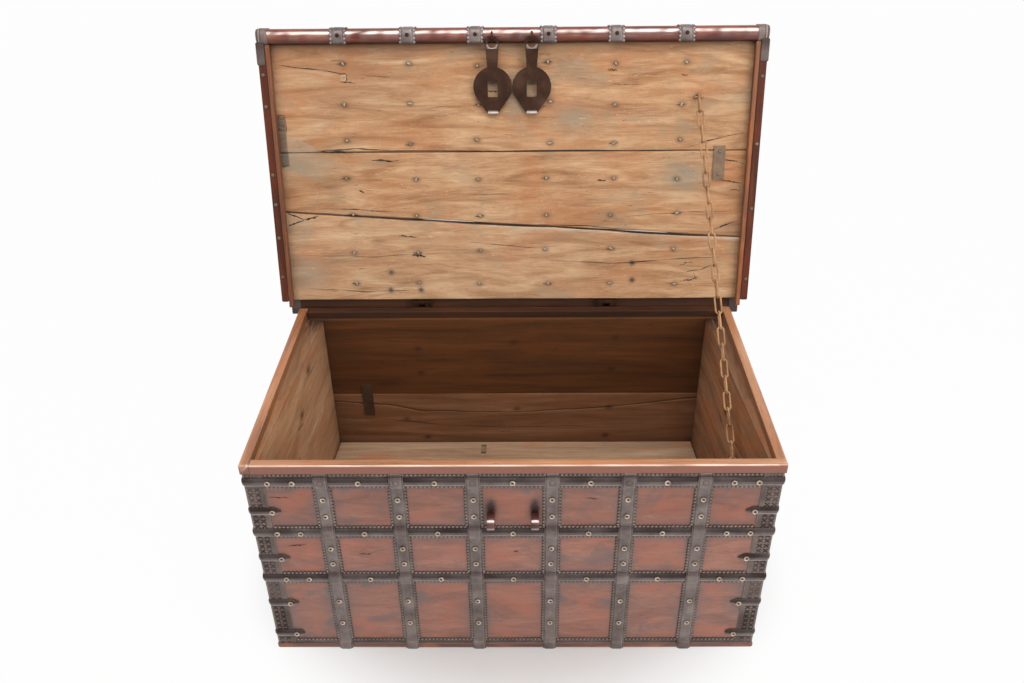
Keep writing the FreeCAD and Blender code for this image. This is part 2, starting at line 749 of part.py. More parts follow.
def make_chest_hinges():
    """Hinge leaves on the back wall, with two knuckles each, and the pins."""
    half_leaf = dim.leaf_width / 2
    gap = dim.lid_knuckle / 2 + dim.knuckle_gap
    leaf_face = half_depth + dim.leaf_thickness
    leaves = []
    pins = []
    for side in both_sides:
        tag = f"{side + 1}"
        middle = side * dim.strap_mid
        left = middle - half_leaf
        plate = [(front_face, dim.body_height - dim.leaf_drop), (leaf_face, dim.body_height - dim.leaf_drop),
                 (leaf_face, dim.body_height), (half_depth, dim.body_height), (half_depth, rim_bottom),
                 (front_face, rim_bottom)]
        pieces = [move(profile_body(f"leaf_plate_{tag}", "YZ_Plane", plate, dim.leaf_width), (left, 0, 0))]
        for end, start in (("a", left), ("b", middle + gap)):
            pieces.append(rod_across(f"leaf_knuckle_{tag}{end}", dim.knuckle_radius, half_leaf - gap,
                                     (start, hinge_y, hinge_z)))
            pieces.append(block(f"leaf_web_{tag}{end}", (start, half_depth, dim.body_height - 1),
                                (start + half_leaf - gap, hinge_y, hinge_z)))
        bore = rod_across(f"leaf_bore_{tag}", dim.pin_radius + dim.hinge_clearance, dim.leaf_width + 2,
                          (left - 1, hinge_y, hinge_z))
        leaves.append(cut(f"hinge_leaf_{tag}", fuse(f"leaf_forging_{tag}", pieces), bore))
        pins.append(rod_across(f"hinge_pin_{tag}", dim.pin_radius, dim.leaf_width + 4,
                               (left - 2, hinge_y, hinge_z)))
    keep("hinge_leaves", gather("hinge_leaves", leaves))
    keep("hinge_pins", gather("hinge_pins", pins))


def make_lid_wood():
    """Planks, rails, liners and back rail, drawn shut in the lid's frame."""
    half_gap = dim.seam_gap / 2
    front_seam = -dim.lid_seam_front
    left_seam = -dim.lid_seam_left
    right_seam = -dim.lid_seam_right
    planks = {
        "lid_plank_front": [(-side_inner, rail_inner), (side_inner, rail_inner),
                            (side_inner, front_seam - half_gap), (-side_inner, front_seam - half_gap)],
        "lid_plank_middle": [(-side_inner, front_seam + half_gap), (side_inner, front_seam + half_gap),
                             (side_inner, right_seam - half_gap), (-side_inner, left_seam - half_gap)],
        "lid_plank_back": [(-side_inner, left_seam + half_gap), (side_inner, right_seam + half_gap),
                           (side_inner, lid_back), (-side_inner, lid_back)],
    }
    for label, corners in planks.items():
        keep(label, move_on_lid(profile_body(label, "XY_Plane", corners, dim.lid_plank), (0, 0, lid_under)))

    section = [(rail_outer, lid_face), (rail_inner, lid_face), (rail_inner, lid_top), (rail_outer, lid_top)]
    rail = profile_body("lid_front_rail", "YZ_Plane", section, 2 * side_outer)

    def nose(edge):
        box = edge.BoundBox
        return box.YLength < 0.01 and abs(box.YMin - rail_outer.number) < 0.01 and box.ZLength < 0.01

    round_edges(rail, nose, dim.rail_round)
    keep("lid_front_rail", move_on_lid(rail, (-side_outer, 0, 0)))
    keep("lid_rail_left", block("lid_rail_left", (-side_outer, rail_inner, lid_face),
                                (-side_inner, lid_back, lid_top), move_on_lid))
    keep("lid_rail_right", block("lid_rail_right", (side_inner, rail_inner, lid_face),
                                 (side_outer, lid_back, lid_top), move_on_lid))
    liners = [block(f"lid_liner_{side + 1}", (start, rail_inner, lid_face + dim.liner_setback),
                    (start + dim.liner_width, dim.liner_tail, lid_under), move_on_lid)
              for side, start in ((-1, -side_inner), (1, liner_inner))]
    keep("lid_liners", gather("lid_liners", liners))
    keep("lid_back_rail", block("lid_back_rail", (-side_inner, lid_back, back_rail_under),
                                (side_inner, dim.back_rail_tail, lid_top), move_on_lid))


def nose_wrap(start, width, tail):
    """A strip of iron round the front rail and back along the top to tail, extruded along X."""
    thick = dim.lid_strap_thickness.number
    soft = dim.rail_round.number
    inner = rail_inner.number
    outer = rail_outer.number
    low = lid_face.number
    high = lid_top.number

    def side_line(grow):
        bend = soft + grow
        low_mid = (outer + soft, low + soft)
        high_mid = (outer + soft, high - soft)
        slant = bend * math.sqrt(0.5)
        points = [(inner, low - grow), (outer + soft, low - grow),
                  (low_mid[0] - slant, low_mid[1] - slant), (outer - grow, low + soft),
                  (outer - grow, high - soft), (high_mid[0] - slant, high_mid[1] + slant),
                  (outer + soft, high + grow), (tail, high + grow)]
        return [Vector(start, y, z) for y, z in points]

    def run(points):
        return [Part.LineSegment(points[0], points[1]).toShape(),
                Part.Arc(points[1], points[2], points[3]).toShape(),
                Part.LineSegment(points[3], points[4]).toShape(),
                Part.Arc(points[4], points[5], points[6]).toShape(),
                Part.LineSegment(points[6], points[7]).toShape()]

    near = side_line(0)
    far = side_line(thick)
    ends = [Part.LineSegment(near[-1], far[-1]).toShape(), Part.LineSegment(near[0], far[0]).toShape()]
    wire = Part.Wire(Part.__sortEdges__(run(near) + run(far) + ends))
    return Part.Face(wire).extrude(Vector(width, 0, 0))


def make_lid_iron():
    """Straps over the lid, corner caps, nails and the mending plate."""
    width = dim.strap_width.number
    tail = dim.back_rail_tail.number
    straps = [nose_wrap(side * place.number - width / 2, width, tail)
              for place in lid_strap_places for side in both_sides]
    feature = keep("lid_straps", solid_feature("lid_straps", Part.makeCompound(straps)))
    feature.Placement = lid_placement()

    thick = dim.lid_strap_thickness
    cap_start = (side_outer - dim.cap_width).number
    wrap = solid_feature("cap_wrap", nose_wrap(cap_start, dim.cap_width.number, rail_inner.number))
    wrap.Placement = lid_placement()
    reach = rail_inner + dim.cap_length - dim.front_rail
    cheek = block("cap_cheek", (side_outer, rail_inner, lid_face - thick), (side_outer + thick, reach, lid_top),
                  move_on_lid)
    sole = block("cap_sole", (side_inner, rail_inner, lid_face - thick), (side_outer + thick, reach, lid_face),
                 move_on_lid)
    end = profile_body("cap_end", "YZ_Plane", [
        (rail_outer - thick + dim.rail_round, lid_face - thick), (rail_inner, lid_face - thick),
        (rail_inner, lid_top + thick), (rail_outer - thick + dim.rail_round, lid_top + thick),
        (rail_outer - thick, lid_top - dim.rail_round), (rail_outer - thick, lid_face + dim.rail_round)], thick)
    move_on_lid(end, (side_outer, 0, 0))
    front_cap = fuse("cap_front", [wrap, cheek, sole, end])

    cap_low = side_inner - dim.back_cap_width + thick
    shell = block("cap_back_shell", (cap_low, lid_back, back_rail_under - thick),
                  (side_inner + thick, dim.back_rail_tail + thick, lid_top + thick), move_on_lid)
    hollow = block("cap_back_hollow", (cap_low - 1, lid_back - 1, back_rail_under),
                   (side_inner, dim.back_rail_tail, lid_top), move_on_lid)
    back_cap = cut("cap_back", shell, hollow)
    right = gather("lid_caps_right", [front_cap, back_cap])
    left = mirror("lid_caps_left", right, (1, 0, 0))
    keep("lid_corner_caps", gather("lid_corner_caps", [left, right]))

    half_mend = dim.mend_width / 2
    half_long = dim.lid_mend_length / 2
    keep("lid_mending_plate", block(
        "lid_mending_plate",
        (dim.lid_mend_x - half_mend, -dim.lid_mend_from_hinge - half_long, lid_under - dim.mend_thickness),
        (dim.lid_mend_x + half_mend, half_long - dim.lid_mend_from_hinge, lid_under), move_on_lid))


def make_lid_nails():
    """Domed nails along the side rails and clenched nail ends in rows under the lid straps."""
    body = doc.addObject("PartDesign::Body", "nail_form")
    sketch = sketch_on(body, "XZ_Plane", "section")
    radius = dim.nail_radius
    tall = dim.nail_height
    draw(sketch, [(0, 0), (radius, 0), (radius * 0.85, tall * 0.5), (radius * 0.5, tall * 0.9), (0, tall)])
    turn = body.newObject("PartDesign::Revolution", "nail_turn")
    turn.Profile = sketch
    turn.ReferenceAxis = (sketch, ["V_Axis"])
    turn.Angle = 360
    doc.recompute()

    rail_middle = ((side_inner + side_outer) / 2).number
    length = (lid_back - rail_inner).number
    clear = (dim.cap_length - dim.front_rail).number + 12
    shares = {-1: (0.0, 0.13, 0.42, 0.55, 0.7, 0.88), 1: (0.02, 0.3, 0.58, 0.9)}
    spots = [(side * rail_middle, rail_inner.number + clear + (length - clear) * share, lid_face.number)
             for side in both_sides for share in shares[side]]
    step = (lid_back - rail_inner).number / 7
    rows = [rail_inner.number + step * (row + 0.55) for row in range(7)]
    seams = (dim.lid_seam_front.number, dim.lid_seam_left.number, dim.lid_seam_right.number)
    for place in lid_strap_places:
        for side in both_sides:
            for y in rows:
                if min(abs(-y - seam) for seam in seams) > 2 * dim.nail_radius.number:
                    spots.append((side * place.number, y, lid_under.number))
    nails = []
    for spot in spots:
        copy = body.Shape.copy()
        copy.Placement = Placement(Vector(*spot), Rotation(Vector(1, 0, 0), 180))
        nails.append(copy)
    feature = keep("lid_nails", solid_feature("lid_nails", Part.makeCompound(nails)))
    feature.Placement = lid_placement()


def make_lid_hinges():
    """The lid's knuckles, each forged onto a leaf under the back rail."""
    half_leaf = dim.leaf_width / 2
    half_knuckle = dim.lid_knuckle / 2
    under = back_rail_under - dim.leaf_thickness
    clear = dim.knuckle_radius + 2
    leaves = []
    for side in both_sides:
        tag = f"{side + 1}"
        middle = side * dim.strap_mid
        barrel = rod_across(f"lid_barrel_{tag}", dim.knuckle_radius, dim.lid_knuckle,
                            (middle - half_knuckle, hinge_y, hinge_z))
        tongue = block(f"lid_tongue_{tag}", (middle - half_knuckle, 0, under),
                       (middle + half_knuckle, clear, back_rail_under), move_on_lid)
        leaf = block(f"lid_leaf_{tag}", (middle - half_leaf, clear, under),
                     (middle + half_leaf, dim.back_rail_tail - 2, back_rail_under), move_on_lid)
        bore = rod_across(f"lid_bore_{tag}", dim.pin_radius + dim.hinge_clearance, dim.lid_knuckle + 2,
                          (middle - half_knuckle - 1, hinge_y, hinge_z))
        leaves.append(cut(f"lid_hinge_{tag}", fuse(f"lid_hinge_forging_{tag}", [barrel, tongue, leaf]), bore))
    keep("lid_hinge_leaves", gather("lid_hinge_leaves", leaves))


def half_ring(radius, wire):
    """Half of a ring in the XY plane, on the side of positive Y."""
    return Part.makeTorus(radius, wire, Vector(), Vector(0, 0, 1), -180, 180, 180)


def make_eyes():
    """Staples that hold the hasps, the lid end of the chain and its lower end."""
    radius = dim.eye_radius.number
    wire = dim.eye_wire.number
    stand = dim.eye_standoff.number
    legs = [Part.makeCylinder(wire, stand, Vector(side * radius, -stand, 0), Vector(0, 1, 0)) for side in both_sides]
    eye = half_ring(radius, wire).fuse(legs)
    eye.rotate(Vector(), Vector(0, 1, 0), 90)
    eye.rotate(Vector(), Vector(1, 0, 0), -90)
    eyes = []
    for side in both_sides:
        copy = eye.copy()
        copy.translate(Vector(side * dim.hasp_spacing.number / 2, -dim.eye_from_hinge.number,
                              lid_face.number - stand))
        eyes.append(copy)
    feature = keep("hasp_eyes", solid_feature("hasp_eyes", Part.makeCompound(eyes)))
    feature.Placement = lid_placement()

    bar = dim.link_wire
    spread = dim.link_width - 1
    low = lid_under - dim.chain_standoff
    y = -dim.chain_from_hinge
    pieces = [rod_up(f"chain_eye_leg_{side + 1}", bar, dim.chain_standoff,
                     (dim.chain_x + side * spread, y, low), move_on_lid) for side in both_sides]
    pieces.append(rod_across("chain_eye_bar", bar, 2 * spread + 2 * bar,
                             lid_point((dim.chain_x - spread - bar, y, low))))
    keep("chain_eye", fuse("chain_eye", pieces))

    edge = dim.chain_end_x + dim.link_width / 2 + 2 * bar + dim.anchor_gap
    centre_x = edge + bar
    spot = chain_end()
    reach = inside_at(spot.y + bar) - centre_x
    pieces = [rod_across(f"chain_anchor_leg_{side + 1}", bar, reach,
                         (centre_x, spot.y, spot.z + side * spread)) for side in both_sides]
    pieces.append(rod_up("chain_anchor_bar", bar, 2 * spread + 2 * bar, (centre_x, spot.y, spot.z - spread - bar)))
    keep("chain_anchor", fuse("chain_anchor", pieces))


def make_hasps():
    """Flat hasps that lean on the planks below their eyes: head, neck, slotted disc, turned-out tip."""
    pivot = lid_point((0, -dim.eye_from_hinge, lid_face - dim.eye_standoff))
    thick = dim.hasp_thickness
    hole_drop = dim.hasp_drop + dim.hasp_rim / 2 + dim.hasp_hole
    head = dim.hasp_hole + dim.hasp_rim
    lean = dim.open_angle - 90 - dim.hasp_rest
    cos_lean = Size(math.cos(math.radians(lean.number)), f"cos({lean.formula})")
    sin_lean = Size(math.sin(math.radians(lean.number)), f"sin({lean.formula})")
    for side, label in ((-1, "hasp_left"), (1, "hasp_right")):
        body = doc.addObject("PartDesign::Body", label)
        for name, drop, radius in (("head", hole_drop, head), ("disc", dim.hasp_disc_drop, dim.hasp_disc)):
            sketch = sketch_on(body, "XZ_Plane", name)
            draw_circle(sketch, (0, -drop), radius)
            pad(body, sketch, thick)
        neck = sketch_on(body, "XZ_Plane", "neck")
        half = dim.hasp_neck / 2
        draw(neck, [(-half, -hole_drop), (half, -hole_drop), (half, -dim.hasp_disc_drop), (-half, -dim.hasp_disc_drop)])
        pad(body, neck, thick)
        tip = sketch_on(body, "XZ_Plane", "tip")
        wide = dim.hasp_disc * 0.86
        shoulder = dim.hasp_disc_drop + dim.hasp_disc * 0.5
        half_tip = dim.hasp_tip / 2
        draw(tip, [(-wide, -shoulder), (wide, -shoulder), (half_tip, -dim.hasp_tip_drop),
                   (-half_tip, -dim.hasp_tip_drop)])
        pad(body, tip, thick)
        tab = sketch_on(body, "XZ_Plane", "tab")
        draw(tab, [(-half_tip, thick - dim.hasp_tip_drop), (half_tip, thick - dim.hasp_tip_drop),
                   (half_tip, -dim.hasp_tip_drop), (-half_tip, -dim.hasp_tip_drop)])
        pad(body, tab, thick + dim.hasp_tab)
        openings = sketch_on(body, "XZ_Plane", "openings")
        draw_circle(openings, (0, -hole_drop), dim.hasp_hole)
        half_slot = dim.hasp_slot_width / 2
        slot_top = dim.hasp_slot_height / 2 - dim.hasp_slot_drop
        slot_low = -dim.hasp_slot_height / 2 - dim.hasp_slot_drop
        draw(openings, [(-half_slot, slot_low), (half_slot, slot_low), (half_slot, slot_top), (-half_slot, slot_top)])
        doc.recompute()
        before = body.Tip.Shape.Volume
        hole = body.newObject("PartDesign::Pocket", f"{label}_openings_cut")
        hole.Profile = openings
        hole.Reversed = True
        bind(hole, "Length", thick)
        doc.recompute()
        print(label, "openings take out", round(before - hole.Shape.Volume), "cubic mm")
        body.Placement = Placement(Vector(), Rotation(Vector(1, 0, 0), -lean.number))
        bind(body, "Placement.Rotation.Angle", -lean)
        keep(label, move(body, (side * dim.hasp_spacing / 2, pivot[1] + thick / 2 * cos_lean,
                                pivot[2] - thick / 2 * sin_lean)))


pairs_in_top_run = 4
bending_pairs = 5
pairs_in_end_run = 3
all_pairs = pairs_in_top_run + bending_pairs + pairs_in_end_run


def chain_line():
    """Where the chain starts on the lid's eye, and the direction it runs in."""
    start = vector(lid_point((dim.chain_x, -dim.chain_from_hinge, lid_under - dim.chain_standoff)))
    aim = vector((dim.chain_end_x, dim.chain_end_y, dim.chain_end_z)) - start
    return start, aim.normalize()


def chain_end():
    """Middle of the end bar of the chain's last link."""
    start, along = chain_line()
    return start + along * (all_pairs * pair_length())


def pair_length():
    """Length that an edge-on link and a flat link take up together."""
    return 2 * (dim.link_length.number - dim.link_play.number)


def make_link():
    """One link along Z, lying in the XZ plane, with the middle of its upper end bar on the origin."""
    wire = dim.link_wire.number
    bend = dim.link_width.number / 2 + wire
    straight = dim.link_length.number - dim.link_width.number
    upper = half_ring(bend, wire)
    upper.rotate(Vector(), Vector(1, 0, 0), 90)
    lower = upper.copy()
    lower.rotate(Vector(), Vector(0, 1, 0), 180)
    upper.translate(Vector(0, 0, -bend))
    lower.translate(Vector(0, 0, -bend - straight))
    bars = [Part.makeCylinder(wire, straight, Vector(side * bend, 0, -bend - straight)) for side in both_sides]
    return upper.fuse(bars + [lower])


def make_chain():
    """Links alternately edge-on and flat; each moving node starts with an edge-on link."""
    link = make_link()
    wire = dim.link_wire.number
    play = dim.link_play.number
    start, along = chain_line()
    down = Rotation(Vector(0, 0, -1), along)
    sideways = down.inverted().multVec(Vector(1, 0, 0))
    twist = Rotation(Vector(0, 0, 1), math.degrees(math.atan2(sideways.y, sideways.x)))
    names = ["chain_run_top"] + [f"chain_pair_{number}" for number in range(1, bending_pairs + 1)]
    names.append("chain_run_end")
    counts = [pairs_in_top_run] + [1] * bending_pairs + [pairs_in_end_run]
    pair = 0
    for name, count in zip(names, counts):
        links = []
        for number in range(count):
            base = (pair + number) * pair_length()
            edge_top = base - 2 * wire - play
            flat_top = base + dim.link_length.number - 2 * wire - 2 * play
            for top, quarter in ((edge_top, 90), (flat_top, 0)):
                copy = link.copy()
                spin = down * twist * Rotation(Vector(0, 0, 1), quarter)
                copy.Placement = Placement(start + along * top, spin)
                links.append(copy)
        pair += count
        keep(name, solid_feature(name, Part.makeCompound(links)))


make_carcass()
for label, level in zip(("band_low", "band_middle", "band_top"), band_levels):
    make_band(label, level)
make_backings()
make_straps()
make_corner_plates()
make_corner_clips()
make_studs()
make_front_staples()
make_chest_hinges()
make_lid_wood()
make_lid_iron()
make_lid_nails()
make_lid_hinges()
make_eyes()
make_hasps()
make_chain()
doc.recompute()

faults = [f"{obj.Name}: {obj.State}" for obj in doc.Objects if {"Invalid", "Error"} & set(obj.State)]
for label, node in nodes.items():
    if node.Shape.isNull() or not node.Shape.isValid() or not node.Shape.Solids:
        faults.append(f"{label}: bad shape")
if faults:
    raise RuntimeError("; ".join(faults))

os.makedirs("parts", exist_ok=True)
for label, node in nodes.items():
    node.Shape.exportStep(f"parts/{label}.step")
print(len(nodes), "sub-parts;", "chain ends at", chain_end())
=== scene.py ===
import json
import math

import bmesh
import bpy
import numpy as np
from mathutils import Matrix, Vector


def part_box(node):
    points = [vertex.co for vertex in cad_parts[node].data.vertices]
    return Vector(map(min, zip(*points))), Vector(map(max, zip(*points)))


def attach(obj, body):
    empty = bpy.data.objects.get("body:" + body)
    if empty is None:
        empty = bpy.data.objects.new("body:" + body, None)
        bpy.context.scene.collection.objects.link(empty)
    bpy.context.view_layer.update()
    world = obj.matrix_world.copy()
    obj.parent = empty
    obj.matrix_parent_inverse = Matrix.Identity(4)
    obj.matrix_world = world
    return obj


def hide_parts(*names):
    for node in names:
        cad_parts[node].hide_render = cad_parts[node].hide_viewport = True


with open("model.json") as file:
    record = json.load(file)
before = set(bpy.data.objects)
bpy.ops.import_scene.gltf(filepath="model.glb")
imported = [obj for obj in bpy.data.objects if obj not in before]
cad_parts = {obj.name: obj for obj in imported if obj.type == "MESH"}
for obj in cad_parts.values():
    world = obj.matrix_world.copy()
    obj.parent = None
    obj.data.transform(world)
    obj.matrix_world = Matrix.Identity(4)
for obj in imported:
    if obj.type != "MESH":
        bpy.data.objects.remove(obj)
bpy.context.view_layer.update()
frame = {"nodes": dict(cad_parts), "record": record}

joints = {joint["name"]: joint for joint in frame["record"]["behaviour"]["joints"]}
print("frame loaded:", len(frame["nodes"]), "nodes")

# The lid's own frame lies on the hinge axis with the lid shut: x, then back, then up.
lidTurn = dict(
    hinge=np.array([0.0, *joints["lid_hinge"]["pos_m"][1:]]),
    angle=math.radians(joints["lid_hinge"]["range_deg"][1]),
)
# Outer faces of the boards and of the rims, and heights that many pieces share, in metres
carcass = dict(x=0.476, y=0.266, rimX=0.480, rimY=0.270, top=0.480, boardTop=0.464, baseTop=0.013,
               floorTop=0.115)
xWay, yWay, zWay = np.eye(3)
hands = (-1, 1)  # left and right, or down and up


# Small helpers

def turnLid(points, angle):
    # turned about the hinge line: y = back*cos + up*sin, z = up*cos - back*sin
    points = np.asarray(points, float)
    c, s = math.cos(angle), math.sin(angle)
    back, up = points[..., 1], points[..., 2]
    return np.stack([points[..., 0], back * c + up * s, up * c - back * s], -1)


def onLid(points):
    # from the shut lid's own frame to the open lid
    return turnLid(points, lidTurn["angle"]) + lidTurn["hinge"]


def vertexPlaces(mesh):
    flat = np.empty(len(mesh.vertices) * 3, np.float32)
    mesh.vertices.foreach_get("co", flat)
    return flat.reshape(-1, 3)


def lidBox(node):
    # the same turn undone, so that a lid piece can be measured shut
    points = vertexPlaces(frame["nodes"][node].data).astype(float) - lidTurn["hinge"]
    shut = turnLid(points, -lidTurn["angle"])
    return shut.min(0), shut.max(0)


def chestBox(node):
    low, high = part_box(node)
    return np.array(low), np.array(high)


def ripple(u, v, seed, waves=5):
    # slow unevenness from -1 to 1: the mean of a few seeded sine waves over two lengths in metres
    rng = np.random.default_rng(seed)
    limits = ((0, 6.28), (0.5, 1.7), (0, 6.28))
    total = np.zeros(np.broadcast(u, v).shape)
    for turn, pace, phase in zip(*(rng.uniform(low, high, waves) for low, high in limits)):
        total = total + np.sin(pace * (np.cos(turn) * u + np.sin(turn) * v) + phase)
    return np.clip(total / (0.62 * waves), -1, 1)


def bell(gap, width):
    # exp(-(gap/width)^2)
    return np.exp(-(gap / width) ** 2)


def fade(gap, width):
    # 1 up to a gap of nothing, then exp(-gap/width)
    return np.exp(-np.clip(gap, 0, None) / width)


def ramp(gap, width):
    # a straight rise from 0 to 1 over the width
    return np.clip(gap / width, 0, 1)


def smoothStep(share):
    # 3s^2 - 2s^3
    return 3 * share ** 2 - 2 * share ** 3


def spots(points, centres, size):
    # soft round marks: the largest of exp(-(distance/size)^2) over the centres
    found = np.zeros(len(points))
    for centre in np.asarray(centres, float):
        gap = np.linalg.norm((points - centre) / np.asarray(size), axis=1)
        found = np.maximum(found, np.exp(-gap ** 2))
    return found


def runLength(path):
    # distance travelled at each point of a path
    return np.concatenate([[0.0], np.cumsum(np.linalg.norm(np.diff(path, axis=0), axis=1))])


def rowsOf(way, count):
    # one direction for each point of a path
    return np.tile(np.asarray(way, float), (count, 1))


def gridFaces(rows, cols, wrapRows=False, wrapCols=False):
    # quads of a grid, with either way closed on itself
    a, b = np.meshgrid(np.arange(rows if wrapRows else rows - 1), np.arange(cols if wrapCols else cols - 1),
                       indexing="ij")
    nextA, nextB = (a + 1) % rows, (b + 1) % cols
    corners = [a * cols + b, a * cols + nextB, nextA * cols + nextB, nextA * cols + b]
    return np.stack(corners, -1).reshape(-1, 4)


def tubeFaces(rows, cols):
    # quads round a closed section carried along a path, and a flat face on each end
    ends = [list(range(cols)), list(range((rows - 1) * cols, rows * cols))]
    return gridFaces(rows, cols, wrapCols=True).tolist() + ends


def makePiece(name, points, faces, body, material, nodes=(), marks=None, merge=0.0, smooth=True):
    # a mesh with its marks as attributes, riding on a body and standing for its nodes
    mesh = bpy.data.meshes.new(name)
    mesh.from_pydata(np.asarray(points, float).reshape(-1, 3).tolist(), [], faces)
    for label, values in (marks or {}).items():
        values = np.asarray(values, np.float32)
        kind, field = ("FLOAT_VECTOR", "vector") if values.ndim == 2 else ("FLOAT", "value")
        mesh.attributes.new(label, kind, "POINT").data.foreach_set(field, values.ravel())
    work = bmesh.new()
    work.from_mesh(mesh)
    if merge:
        bmesh.ops.remove_doubles(work, verts=work.verts, dist=merge)
        bmesh.ops.dissolve_degenerate(work, edges=work.edges, dist=merge)
    bmesh.ops.recalc_face_normals(work, faces=work.faces)
    work.to_mesh(mesh)
    work.free()
    mesh.polygons.foreach_set("use_smooth", np.full(len(mesh.polygons), smooth))
    mesh.materials.append(material)
    piece = bpy.data.objects.new(name, mesh)
    bpy.context.scene.collection.objects.link(piece)
    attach(piece, body)
    if nodes:
        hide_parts(*nodes)
    return piece


def joinGrids(grids):
    # several grids of (points, faces, marks) in one mesh
    points, faces, marks, start = [], [], {}, 0
    for gridPoints, gridQuads, gridMarks in grids:
        flat = np.asarray(gridPoints).reshape(-1, 3)
        points.append(flat)
        faces += [[corner + start for corner in face] for face in gridQuads]
        for label, values in gridMarks.items():
            marks.setdefault(label, []).append(values)
        start += len(flat)
    return np.vstack(points), faces, {label: np.concatenate(values) for label, values in marks.items()}


def makeJoined(name, grids, body, material, nodes=()):
    points, faces, marks = joinGrids(grids)
    return makePiece(name, points, faces, body, material, nodes, marks)


# Materials

def toLinear(code):
    parts = np.array([int(code[i:i + 2], 16) for i in (1, 3, 5)]) / 255.0
    linear = np.where(parts <= 0.04045, parts / 12.92, ((parts + 0.055) / 1.055) ** 2.4)
    return (*linear.tolist(), 1.0)


def setInputs(tree, node, **inputs):
    # values to set or sockets to link; in3 means the fourth input
    for key, value in inputs.items():
        place = int(key[2:]) if key.startswith("in") and key[2:].isdigit() else key.replace("_", " ")
        if isinstance(value, bpy.types.NodeSocket):
            tree.links.new(value, node.inputs[place])
        else:
            node.inputs[place].default_value = value


def addNode(tree, kind, settings=None, **inputs):
    # a shader node with its own settings and its inputs
    node = tree.nodes.new("ShaderNode" + kind)
    for key, value in (settings or {}).items():
        setattr(node, key, value)
    setInputs(tree, node, **inputs)
    return node


def newMaterial(name):
    material = bpy.data.materials.new(name)
    material.use_nodes = True
    tree = material.node_tree
    tree.nodes.clear()
    shader = addNode(tree, "BsdfPrincipled")
    addNode(tree, "OutputMaterial", Surface=shader.outputs[0])
    return material, tree, shader


def readMarks(tree, *labels):
    # the numbers that a piece carries on its points
    return {label: addNode(tree, "Attribute", {"attribute_name": label}).outputs["Fac"] for label in labels}


def colourSteps(tree, factor, positions, codes):
    # a ramp with these colours at these positions
    node = addNode(tree, "ValToRGB", Fac=factor)
    band = node.color_ramp
    while len(band.elements) < len(codes):
        band.elements.new(0.5)
    for element, position, code in zip(band.elements, positions, codes):
        element.position = position
        element.color = toLinear(code)
    return node.outputs["Color"]


def woodFinish(name, look):
    # Old sawn hardwood. Broad figure runs along the board and changes every few centimetres across it, finer
    # grain every few millimetres, short dark nicks lie in it, and clouds of warm colour and of grey dirt
    # drift over them. Hand wax leaves a soft gloss. The board itself carries a haze mark (dirt, and on some
    # boards painted shade), a stain mark (dark stains, and on some boards painted shade) and a wear mark
    # (worn pale, and on some boards a painted highlight).
    material, tree, shader = newMaterial(name)
    grain = addNode(tree, "Attribute", {"attribute_name": "grain"}).outputs["Vector"]
    marks = readMarks(tree, "hazeAndShade", "stainAndShade", "wearAndHighlight")
    noise, overs = {}, {}
    for label, (acrossMm, stretch, detail, bend) in look["layers"].items():
        scale = (1000.0 / (acrossMm * stretch), 1000.0 / acrossMm, 1000.0 / acrossMm)
        ways = addNode(tree, "Mapping", Vector=grain, Scale=scale)
        noise[label] = addNode(tree, "TexNoise", Vector=ways.outputs[0], Scale=1.0, Detail=detail,
                               Roughness=0.6, Distortion=bend).outputs["Fac"]
    for label, (start, width, depth) in look["masks"].items():
        overs[label] = addNode(tree, "MapRange", Value=noise[label], From_Min=start, From_Max=start + width,
                               To_Min=0.0, To_Max=depth).outputs[0]
    nick = overs["nick"]
    overs["cloud"] = addNode(tree, "Math", {"operation": "ADD", "use_clamp": True}, in0=overs["cloud"],
                             in1=marks["hazeAndShade"]).outputs[0]
    ragged = addNode(tree, "Math", {"operation": "MULTIPLY_ADD"}, in0=noise["grain"], in1=1.6, in2=0.2)
    for label in ("stainAndShade", "wearAndHighlight"):
        overs[label] = addNode(tree, "Math", {"operation": "MULTIPLY", "use_clamp": True}, in0=marks[label],
                               in1=ragged.outputs[0]).outputs[0]
    tone = colourSteps(tree, noise["figure"], (0.3, 0.5, 0.7), look["tones"])
    streak = addNode(tree, "MapRange", Value=noise["grain"], From_Min=0.3, From_Max=0.7,
                     To_Min=look["grainDark"], To_Max=look["grainLight"])
    colour = addNode(tree, "Mix", {"data_type": "RGBA", "blend_type": "MULTIPLY"}, in0=1.0, in6=tone,
                     in7=streak.outputs[0]).outputs[2]
    for label in ("warm", "cloud", "saw", "chip", "nick", "stainAndShade", "wearAndHighlight"):
        if label in overs:
            colour = addNode(tree, "Mix", {"data_type": "RGBA"}, in0=overs[label], in6=colour,
                             in7=toLinear(look["hazeAndShade" if label == "cloud" else label])).outputs[2]
    gloss = addNode(tree, "MapRange", Value=noise["cloud"], From_Min=0.3, From_Max=0.7,
                    To_Min=look["roughness"] - 0.08, To_Max=look["roughness"] + 0.1)
    relief = addNode(tree, "Math", {"operation": "SUBTRACT"}, in0=noise["grain"], in1=nick)
    bump = addNode(tree, "Bump", Height=relief.outputs[0], Strength=look["relief"], Distance=0.0012)
    setInputs(tree, shader, Base_Color=colour, Roughness=gloss.outputs[0], Normal=bump.outputs[0], IOR=1.5,
              Specular_IOR_Level=look["specular"], Coat_Weight=look["wax"], Coat_Roughness=look["coatRough"],
              Coat_IOR=look["coatIor"])
    return material


